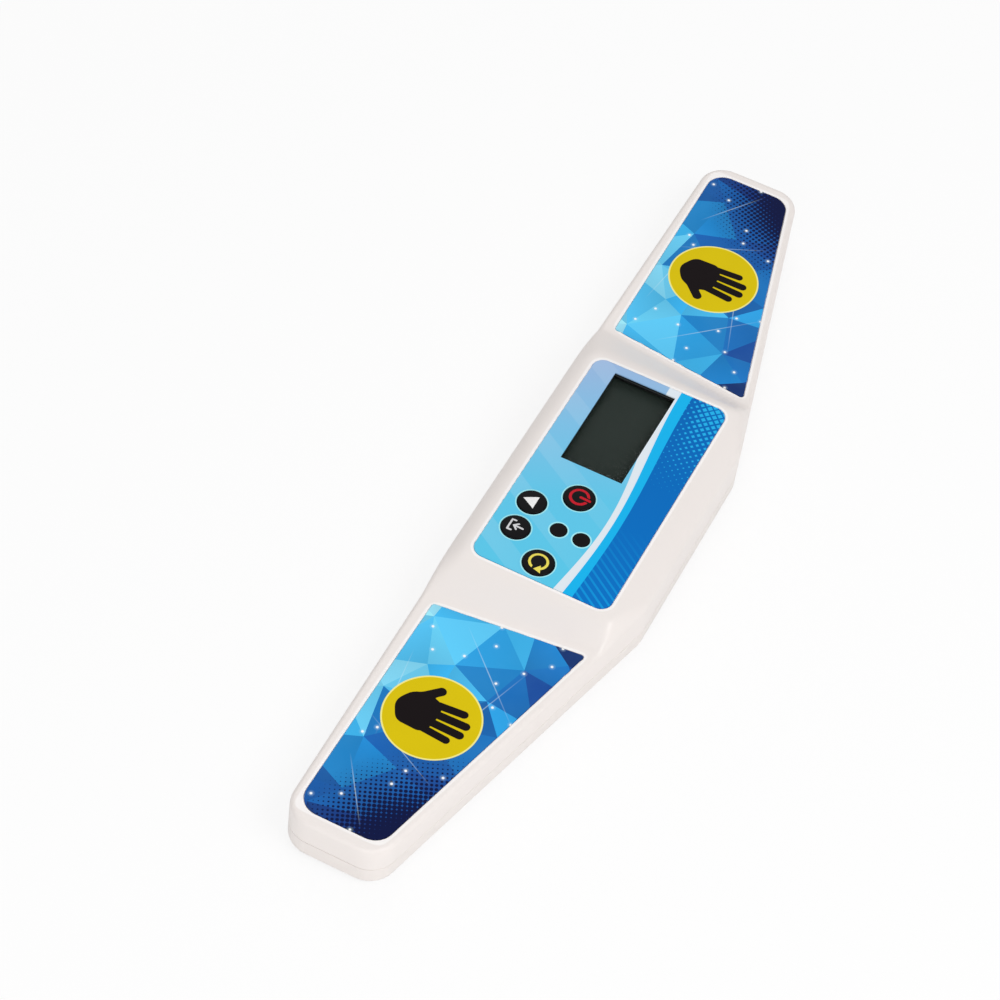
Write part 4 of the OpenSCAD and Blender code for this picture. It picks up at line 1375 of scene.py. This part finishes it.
def triangle(x, y, top, bottom, lean):
    """Signed distance to a triangle with a level top and a point below; its sides lean by an angle."""
    sides = half_plane(x, y, (0, bottom), -lean).most(half_plane(x, y, (0, bottom), 180 + lean))
    return half_plane(x, y, (0, top), 90).most(sides)


def mode_sign(f, x, y):
    """A triangle that points towards the user."""
    return f.inside(triangle(x, y, 1.25, -2.7, 30)), srgb(240, 240, 240)


# Strokes of the save key's sign, in millimetres: the tray's three and the arrow's three, and their half width
SAVE_STROKES = (
    ((-1.8, -0.7), (-1.8, -1.8)), ((1.8, -0.7), (1.8, -1.8)), ((-1.8, -1.8), (1.8, -1.8)),
    ((0, 2.1), (0, -0.5)), ((-1, 0.5), (0, -0.6)), ((1, 0.5), (0, -0.6)),
)
SAVE_STROKE = 0.28


def save_sign(f, x, y):
    """An arrow down into a tray."""
    strokes = [bar(x, y, start, end, SAVE_STROKE) for start, end in SAVE_STROKES]
    return f.inside(joined(strokes)), srgb(214, 214, 216)


def reset_sign(f, x, y):
    """An open ring that ends in an arrowhead."""
    ring = abs(hypot(x, y) - 2.5) - 0.36
    gap = bar(x, y, (1.6, -0.1), (4, -0.2), 0.75)
    head = triangle(*turned(x - 2.35, y - 1.1, 20), 0.5, -1.5, 32)
    return f.inside(joined([ring.most(-gap), head])), srgb(236, 220, 92)


# Rounding round a key's top, share of its dome that the crown takes, and gap round a light window
KEY_ROUNDING = 0.45 * MM
CROWN_SHARE = 0.55
LAMP_GAP = 0.05 * MM
KEY_SIGNS = {"power": power_sign, "mode": mode_sign, "save": save_sign, "reset": reset_sign}


def build_keys():
    """The four keys, each on its own body, and the dark light windows."""
    p = panel_sizes()
    for name, (x, y, radius) in key_places().items():
        turned_piece(
            f"{name}_key", f"{name}_button", f"{name}_key", f"{name}_key",
            sign_finish(f"{name} key", x, y, KEY_SIGNS[name]), [(x, y)], Radius=radius, Rounding=KEY_ROUNDING,
            Crown=p.key_dome * CROWN_SHARE, Flange_Reach=0.45 * MM, Flange_Height=0.7 * MM)
    smoke = Finish("smoked light window")
    smoke.set(
        Base_Color=smoke.mix(smoke.noise(2 * MM) * 0.5, srgb(12, 9, 11), srgb(22, 16, 18)),
        Roughness=0.20 + 0.08 * smoke.noise(3 * MM), Specular_IOR_Level=0.06)
    turned_piece(
        "light_windows_dark", "light_windows", "case", "lamp_window", smoke, lamp_places(),
        Radius=p.lamp_radius - LAMP_GAP, Rounding=0.15 * MM, Crown=0.02 * MM, Flange_Reach=0.65 * MM,
        Flange_Height=0.8 * MM)


# ---------------------------------------------------------------- the display

# Bars of one digit, in shares of its half width and half height: start and end
DIGIT_BARS = (
    ((-0.8, 1), (0.8, 1)), ((-0.8, 0), (0.8, 0)), ((-0.8, -1), (0.8, -1)),
    ((-1, 0.9), (-1, 0.1)), ((1, 0.9), (1, 0.1)), ((-1, -0.1), (-1, -0.9)), ((1, -0.1), (1, -0.9)),
)
# In millimetres but for the lean: the digits' pitch, half their size, their lean, half the width of a bar
# and half the length of the row
DIGIT_PITCH = 5.4
DIGIT_HALF = (1.6, 3.6)
DIGIT_LEAN = 0.10
DIGIT_BAR_HALF = 0.32
DIGIT_ROW_HALF = 16.2
# Height of the step that carries the lens, half the width of its painted highlight, and pitch of the rubber
# layers
STEP_HEIGHT = 19.85
STEP_HIGHLIGHT_HALF = 0.10
LAYER_PITCH = 0.18


def display_finish():
    """Idle reflective display: grey-green glass with the faint ghost of its unlit digits."""
    p = panel_sizes()
    f = Finish("idle display")
    x, y = f.flat_place(p.window_x, p.window_y)
    leaned = x - y * DIGIT_LEAN
    local = ((leaned / DIGIT_PITCH).calc("FRACT") - 0.5) * DIGIT_PITCH
    bars = []
    for start, end in DIGIT_BARS:
        a, b = ((q[0] * DIGIT_HALF[0], q[1] * DIGIT_HALF[1]) for q in (start, end))
        bars.append(bar(local, y, a, b, DIGIT_BAR_HALF))
    row = f.inside(abs(leaned) - DIGIT_ROW_HALF, 0.3)
    ghost = f.inside(joined(bars)) * row * 0.10
    shade = f.mix(f.noise(14 * MM, 2) * 0.5, tuple(colours().display), srgb(38, 46, 43))
    shade = f.mix(ghost, shade, srgb(10, 13, 13))
    f.set(Base_Color=shade, Roughness=0.4 + 0.08 * f.noise(9 * MM, 2), Specular_IOR_Level=0.05)
    return f


def painted_step_highlight(f, shade):
    """The frame colour with a thin painted highlight along the step that carries the lens."""
    _, _, height = f.place.xyz()
    # Painted highlight: a pale line at the height of the lens step
    line = f.inside(abs(height / MM - STEP_HEIGHT) - STEP_HIGHLIGHT_HALF, 0.06)
    return f.mix(line * 0.5, shade, srgb(130, 136, 134))


def build_display():
    """The window's frame, its clear lens, the display, the holder and the rubber strips under it."""
    # The black frame gets a painted highlight along the lens step
    black = moulded_finish("black frame plastic", srgb(14, 14, 15), srgb(22, 22, 24), 0.34, 0.2, painted_step_highlight)
    black.set(Specular_IOR_Level=0.15)
    softened("window_bezel", "window_frame", black, 0.18 * MM)

    glass = Finish("clear lens")
    glass.set(
        Base_Color=glass.mix(glass.noise(20 * MM) * 0.3, srgb(250, 253, 252), srgb(238, 246, 244)),
        Roughness=0.03 + 0.03 * glass.noise(5 * MM, 3), Transmission_Weight=1.0, IOR=1.3, Alpha=0.05)
    softened("window_lens", "lens_clear", glass, 0.12 * MM)
    softened("display_cell", "display_glass", display_finish(), 0.10 * MM)

    dark = moulded_finish("holder plastic", srgb(30, 30, 32), srgb(38, 38, 40), 0.45, 0.4)
    softened("display_holder", "display_frame", dark, 0.15 * MM)

    zebra = Finish("layered rubber")
    x, _ = zebra.flat_place()
    layers = zebra.inside(abs((x / LAYER_PITCH).calc("FRACT") - 0.5) - 0.22, 0.1)
    zebra.set(Base_Color=zebra.mix(layers, srgb(205, 196, 190), srgb(26, 26, 28)), Roughness=0.7)
    zebra.relief(layers, 0.02 * MM, 0.5)
    node_finish("zebra_strips", zebra)


# ---------------------------------------------------------------- the board and what stands on it

# On the board, in millimetres: pitch and length of the tracks and pitch of the pads; and the height above
# which the switches show their metal covers
TRACK_PITCH = 1.6
TRACK_LENGTH = 9
PAD_PITCH = 2.54
SWITCH_COVER = 15.0


def metal_finish(name, colour, roughness, brushed=(1, 1, 1)):
    """Plated metal with fine rolling marks and softly varied gloss."""
    f = Finish(name)
    marks = f.noise(0.5 * MM, 4, brushed)
    f.set(
        Base_Color=f.mix(marks * 0.25, colour, tuple(c * 0.8 for c in colour)),
        Metallic=1.0, Roughness=roughness + 0.14 * marks - 0.05)
    f.relief(marks, 0.01 * MM, 0.3)
    return f


def cell_dice(f, u, v):
    """A chance value from 0 to 1 for each whole cell of two coordinates."""
    cell = f.vector(u.calc("FLOOR"), v.calc("FLOOR"))
    return f.add("ShaderNodeTexWhiteNoise", {"noise_dimensions": "2D"}, {"Vector": cell}).out("Value")


def board_finish():
    """Green solder mask over copper tracks, with tinned pads in rows."""
    f = Finish("circuit board")
    x, y = f.flat_place()
    lane = y / TRACK_PITCH
    track = f.inside(abs(lane.calc("FRACT") - 0.5) - 0.16, 0.06)
    track = track * (cell_dice(f, x / TRACK_LENGTH, lane) * 3 - 1.2).clamped()
    u, v = x / PAD_PITCH, y / PAD_PITCH
    pads = f.inside(hypot(u.calc("FRACT") - 0.5, v.calc("FRACT") - 0.5) - 0.17, 0.05)
    pads = pads * (cell_dice(f, u, v) * 6 - 4.2).clamped()
    mask = f.mix(f.noise(8 * MM, 3) * 0.4, srgb(18, 92, 52), srgb(12, 74, 44))
    colour = f.mix(pads, f.mix(track * 0.6, mask, srgb(52, 138, 78)), srgb(206, 206, 200))
    f.set(Base_Color=colour, Roughness=0.32 - 0.08 * pads, Metallic=pads)
    f.relief(track * 0.5 + pads * 0.5, 0.05 * MM, 0.6)
    return f


def resin_finish():
    """Black potting resin with an uneven gloss."""
    f = Finish("potting resin")
    f.set(
        Base_Color=f.mix(f.noise(1.5 * MM, 3) * 0.5, srgb(16, 16, 17), srgb(26, 26, 28)),
        Roughness=0.22 + 0.15 * f.noise(1 * MM, 3))
    f.relief(f.noise(1.2 * MM, 3), 0.05 * MM, 0.5)
    return f


def switch_finish():
    """Dark grey switch bodies with bright metal covers."""
    f = Finish("switch body")
    _, _, height = f.place.xyz()
    cover = f.inside(SWITCH_COVER - height / MM, 0.1)
    f.set(
        Base_Color=f.mix(cover, srgb(84, 84, 86), srgb(196, 196, 194)), Metallic=cover,
        Roughness=0.34 + 0.12 * f.noise(1 * MM, 3))
    return f


def lamp_finish():
    """Red lamp resin that lets a little light through."""
    f = Finish("red lamp resin")
    f.set(
        Base_Color=f.mix(f.noise(1 * MM) * 0.4, srgb(178, 26, 28), srgb(142, 16, 20)),
        Roughness=0.18 + 0.1 * f.noise(1 * MM), Transmission_Weight=0.25)
    return f


def build_electronics():
    """The board, what stands on it, the keys' plungers, the data socket, the electrodes and their leads."""
    softened("main_board", "circuit_board", board_finish(), 0.08 * MM, 1)
    shaded("timer_chip", "chip_drop", resin_finish())
    can = metal_finish("can metal", srgb(205, 205, 202), 0.25)
    softened("quartz_crystal", "crystal_can", can, 0.12 * MM)
    softened("tact_switches", "switch_bodies", switch_finish(), 0.15 * MM)
    turned_piece(
        "indicator_lamps", "status_leds", "case", "lamp_resin", lamp_finish(), lamp_places(),
        Radius=1.2 * MM, Rounding=0.9 * MM, Crown=0.05 * MM, Flange_Reach=0.3 * MM, Flange_Height=1.2 * MM,
        Steps_Round=32)

    pusher = moulded_finish("plunger plastic", srgb(56, 56, 59), srgb(68, 68, 71), 0.4)
    for name in KEY_SIGNS:
        low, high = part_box(f"{name}_plunger")
        turned_piece(
            f"{name}_pusher", f"{name}_plunger", f"{name}_key", "plunger_plastic", pusher,
            [((low.x + high.x) / 2, (low.y + high.y) / 2)], Radius=1.6 * MM, Rounding=0.2 * MM,
            Crown=0.02 * MM, Flange_Reach=0.0, Flange_Height=0.3 * MM, Steps_Round=32, Steps_per_Stretch=3)

    black = moulded_finish("socket plastic", srgb(22, 22, 24), srgb(30, 30, 32), 0.36)
    shaded("data_socket", "socket_body", black)
    sheet = metal_finish("electrode sheet", srgb(214, 214, 212), 0.30, (0.1, 1, 1))
    red = moulded_finish("lead sheath", srgb(200, 48, 54), srgb(178, 38, 44), 0.35, 0.2)
    for side in ("left", "right"):
        softened(f"{side}_touch_plate", f"touch_sheet_{side}", sheet, 0.1 * MM, 1)
        shaded(f"{side}_sensor_lead", f"sensor_wire_{side}", red, 50)


# ---------------------------------------------------------------- the underside

# On a battery cell, in millimetres from its button end: middle and half width of the pale band, the end of
# the bare button and the start of the bare base
BAND_MIDDLE, BAND_HALF = 8.5, 3.2
BUTTON_END = 2.6
BASE_START = 44.9
# Half the distance between the cells' axes, and the battery springs' wire, narrow end and whole length
CELL_OFFSET = 5.5 * MM
SPRING_WIRE = 0.6 * MM
SPRING_NARROW = 2.65 * MM
SPRING_LENGTH = 4.8 * MM
# Screws: their solid and piece, radius and height of the head, radius of the shank and width of the slots
SCREWS = (
    ("case_screws", "screws_case", 2.4 * MM, 1.6 * MM, 1.05 * MM, 0.6 * MM),
    ("board_screws", "screws_board", 1.7 * MM, 1 * MM, 0.7 * MM, 0.5 * MM),
)


def cell_finish():
    """Battery jacket with plain bands, and bare metal ends."""
    f = Finish("cell jacket")
    low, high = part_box("battery_cells")
    across, along, _ = f.place.xyz()
    from_end = ((high.x - low.x) / 2 - across * along.calc("SIGN")) / MM
    band = f.inside(abs(from_end - BAND_MIDDLE) - BAND_HALF, 0.1)
    bare = f.inside(from_end - BUTTON_END, 0.1).most(f.inside(BASE_START - from_end, 0.1))
    jacket = f.mix(f.noise(6 * MM, 3) * 0.3, srgb(196, 174, 97), srgb(182, 160, 86))
    colour = f.mix(bare, f.mix(band, jacket, srgb(226, 224, 216)), srgb(200, 200, 198))
    f.set(Base_Color=colour, Metallic=bare, Roughness=0.30 + 0.1 * f.noise(4 * MM, 3))
    return f


def rubber_finish():
    """Dark grey rubber with a coarse grain."""
    f = Finish("foot rubber")
    grain = f.noise(0.4 * MM, 3)
    f.set(Base_Color=f.mix(grain * 0.6, srgb(62, 62, 64), srgb(80, 80, 82)), Roughness=0.75 + 0.1 * grain)
    f.relief(grain, 0.04 * MM, 0.6)
    return f


def build_springs(finish):
    """The two conical springs, each at its own end of the battery bay."""
    low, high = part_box("battery_springs")
    end = high.x - SPRING_WIRE / 2
    middle_z = (low.z + high.z) / 2
    springs = grown(
        "cell_springs", [(low.x + SPRING_WIRE / 2, CELL_OFFSET, middle_z), (end, -CELL_OFFSET, middle_z)],
        spring_tree(), 60, Wire=SPRING_WIRE, Wide_End=(high.z - low.z - SPRING_WIRE) / 2,
        Narrow_End=SPRING_NARROW, Length=SPRING_LENGTH - SPRING_WIRE, Turns=4, Material=finish.material)
    placed(springs, "case", "battery_springs")


def build_underside():
    """The base, the battery door, the cells with their contacts, the feet and the screws."""
    shade = moulded_finish("base plastic", srgb(238, 231, 227), srgb(233, 226, 222))
    shaded("lower_shell", "case_base", shade, 36)
    cover = moulded_finish("door plastic", srgb(238, 231, 227), srgb(231, 224, 220), 0.38, 0.5)
    softened("battery_door", "door_cover", cover, 0.15 * MM, body="battery_door")
    softened("battery_cells", "cells", cell_finish(), 0.5 * MM, 3)
    nickel = metal_finish("contact metal", srgb(214, 211, 204), 0.22)
    build_springs(nickel)
    node_finish("battery_contacts", nickel)

    turned_piece(
        "feet", "rubber_feet", "case", "foot_rubber", rubber_finish(),
        [(x, y) for x, y, _ in loose_tops("rubber_feet")], Radius=5 * MM, Rounding=0.5 * MM, Crown=0.0,
        Flange_Reach=-0.02 * MM, Flange_Height=0.4 * MM, Tilt=math.pi)
    zinc = metal_finish("screw metal", srgb(190, 190, 192), 0.26)
    tree = screw_tree()
    for node, name, head, head_height, shank, slot in SCREWS:
        low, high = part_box(node)
        screws = grown(
            name, loose_tops(node), tree, Head=head, Head_Height=head_height, Shank=shank, Slot=slot,
            Reach=high.z - low.z - head_height, Material=zinc.material)
        placed(screws, "case", node)


# ---------------------------------------------------------------- the stage

AIM = Vector((16.30, -24.06, 15)) * MM
CAMERA_DISTANCE = 859.27 * MM
CAMERA_AZIMUTH = math.radians(19.897)
CAMERA_ELEVATION = math.radians(50.482)
CAMERA_ROLL = math.radians(8.407)
CAMERA_LENS = 111.6
SENSOR = 36
NEAR_CLIP = 0.05
# Soft square lamps: name, place and side in metres, and power in watts
LAMPS = (
    ("key lamp", (0.25, 0.75, 0.95), 0.7, 5.2),
    ("fill lamp", (-0.6, -0.35, 0.95), 0.9, 2.1),
    ("end lamp", (0.95, 0.1, 0.5), 0.5, 2.3),
)
LAMP_TARGET = Vector((0, 0, 0.01))
# Light of the surroundings on the object; what is seen of them is white
SURROUNDINGS = 0.52
FLOOR_HALF = 1.6
# Least share of plain white in the floor that the camera sees, and millimetres until it is all white
FLOOR_GLOW = 0.8
FLOOR_FADE = 900


def camera_matrix():
    """The photograph's view: from the right end, a little from the far side, rolled as the picture is."""
    flat = math.cos(CAMERA_ELEVATION)
    away = Vector((
        flat * math.cos(CAMERA_AZIMUTH), flat * math.sin(CAMERA_AZIMUTH), math.sin(CAMERA_ELEVATION)))
    forward = -away
    level = forward.cross(Vector((0, 0, 1))).normalized()
    upright = level.cross(forward)
    right = math.cos(CAMERA_ROLL) * level + math.sin(CAMERA_ROLL) * upright
    up = right.cross(forward)
    turn = Matrix((right, up, -forward)).transposed().to_4x4()
    return Matrix.Translation(AIM + away * CAMERA_DISTANCE) @ turn


def add_lamp(name, place, size, power):
    """A soft square lamp that looks at the timer."""
    data = bpy.data.lights.new(name, "AREA")
    data.size = size
    data.energy = power
    lamp = bpy.data.objects.new(name, data)
    lamp.location = place
    lamp.rotation_euler = (LAMP_TARGET - Vector(place)).to_track_quat("-Z", "Y").to_euler()
    bpy.context.scene.collection.objects.link(lamp)


def build_stage():
    """The camera, the surroundings, the lamps and a pale floor that keeps the shadow."""
    scene = bpy.context.scene
    data = bpy.data.cameras.new("camera")
    data.lens = CAMERA_LENS
    data.sensor_width = SENSOR
    data.clip_start = NEAR_CLIP
    camera = bpy.data.objects.new("camera", data)
    camera.matrix_world = camera_matrix()
    scene.collection.objects.link(camera)
    scene.camera = camera
    scene.view_settings.view_transform = "Standard"

    world = scene.world or bpy.data.worlds.new("studio")
    scene.world = world
    world.use_nodes = True
    sky = Graph(world.node_tree)
    sky.tree.nodes.clear()
    ray = sky.add("ShaderNodeLightPath")
    seen = ray.out("Is Camera Ray").most(ray.out("Is Transmission Ray"))
    strength = SURROUNDINGS + seen * (1 - SURROUNDINGS)
    backdrop = sky.add("ShaderNodeBackground", {}, {"Color": (1, 1, 1, 1), "Strength": strength})
    sky.add("ShaderNodeOutputWorld", {}, {"Surface": backdrop})

    for lamp in LAMPS:
        add_lamp(*lamp)

    corners = [(x * FLOOR_HALF, y * FLOOR_HALF, 0) for x, y in ((-1, -1), (1, -1), (1, 1), (-1, 1))]
    floor = mesh_piece("floor", corners, [(0, 1, 2, 3)])
    pale = Finish("pale floor")
    light = pale.add("ShaderNodeLightPath")
    x, y = pale.flat_place()
    pale.set(Base_Color=tuple(colours().floor), Roughness=0.9)
    glow = pale.add("ShaderNodeEmission", {}, {"Color": (1, 1, 1, 1), "Strength": 1.0})
    share = light.out("Is Camera Ray") * (hypot(x, y) / FLOOR_FADE).clamped().most(FLOOR_GLOW)
    mixed = pale.add("ShaderNodeMixShader", {}, {0: share, 1: Wire(pale, pale.surface.outputs[0]), 2: glow})
    pale.put(pale.output.inputs["Surface"], mixed)
    floor.data.materials.append(pale.material)


# ---------------------------------------------------------------- the steps, as operators


class TIMER_OT_case(bpy.types.Operator):
    """Build the moulded top of the case from its height rule"""

    bl_idname = "timer.case"
    bl_label = "Moulded case"

    def execute(self, context):
        housing = tuple(colours().housing)
        # The case colour gets a painted highlight along the lips round the films
        shade = moulded_finish("case plastic", housing, srgb(236, 229, 226), painted_light=painted_lip_highlight)
        placed(build_case_top(), "case", "upper_shell", shade)
        return {"FINISHED"}


class TIMER_OT_films(bpy.types.Operator):
    """Build the two printed hand pads and the printed control panel"""

    bl_idname = "timer.films"
    bl_label = "Printed films"

    def execute(self, context):
        build_hand_pad(1)
        build_hand_pad(-1)
        build_panel_film()
        return {"FINISHED"}


class TIMER_OT_keys(bpy.types.Operator):
    """Build the four domed keys with their signs, and the dark light windows"""

    bl_idname = "timer.keys"
    bl_label = "Keys and light windows"

    def execute(self, context):
        build_keys()
        return {"FINISHED"}


class TIMER_OT_display(bpy.types.Operator):
    """Build the window frame, the lens, the display and its holder"""

    bl_idname = "timer.display"
    bl_label = "Display"

    def execute(self, context):
        build_display()
        return {"FINISHED"}


class TIMER_OT_electronics(bpy.types.Operator):
    """Build the board, what stands on it, the data socket, the electrodes and their leads"""

    bl_idname = "timer.electronics"
    bl_label = "Board and electrodes"

    def execute(self, context):
        build_electronics()
        return {"FINISHED"}


class TIMER_OT_underside(bpy.types.Operator):
    """Build the base, the battery door, the cells with their contacts, the screws and the feet"""

    bl_idname = "timer.underside"
    bl_label = "Base, battery and fixings"

    def execute(self, context):
        build_underside()
        return {"FINISHED"}


class TIMER_OT_stage(bpy.types.Operator):
    """Set up the floor, the lamps, the pale background and the camera"""

    bl_idname = "timer.stage"
    bl_label = "Stage"

    def execute(self, context):
        build_stage()
        return {"FINISHED"}


STEPS = (
    TIMER_OT_case, TIMER_OT_films, TIMER_OT_keys, TIMER_OT_display, TIMER_OT_electronics, TIMER_OT_underside,
    TIMER_OT_stage,
)
GROUPS = (
    ("timer_case_sizes", TimerCaseSizes),
    ("timer_panel_sizes", TimerPanelSizes),
    ("timer_colours", TimerColours),
)


class TIMER_PT_sidebar(bpy.types.Panel):
    """Sizes, colours and building steps of the timer"""

    bl_idname = "TIMER_PT_sidebar"
    bl_label = "Speed cube timer"
    bl_space_type = "VIEW_3D"
    bl_region_type = "UI"
    bl_category = "Timer"

    def draw(self, context):
        for step in STEPS:
            self.layout.operator(step.bl_idname)
        for name, group in GROUPS:
            box = self.layout.box()
            for field in group.__annotations__:
                box.prop(getattr(context.scene, name), field)


def register():
    for name, group in GROUPS:
        bpy.utils.register_class(group)
        setattr(bpy.types.Scene, name, PointerProperty(type=group))
    for step in STEPS:
        bpy.utils.register_class(step)
    bpy.utils.register_class(TIMER_PT_sidebar)


def unregister():
    bpy.utils.unregister_class(TIMER_PT_sidebar)
    for step in reversed(STEPS):
        bpy.utils.unregister_class(step)
    for name, group in reversed(GROUPS):
        delattr(bpy.types.Scene, name)
        bpy.utils.unregister_class(group)


def main():
    register()
    bpy.ops.timer.case()
    bpy.ops.timer.films()
    bpy.ops.timer.keys()
    bpy.ops.timer.display()
    bpy.ops.timer.electronics()
    bpy.ops.timer.underside()
    bpy.ops.timer.stage()


if __name__ == "__main__":
    main()
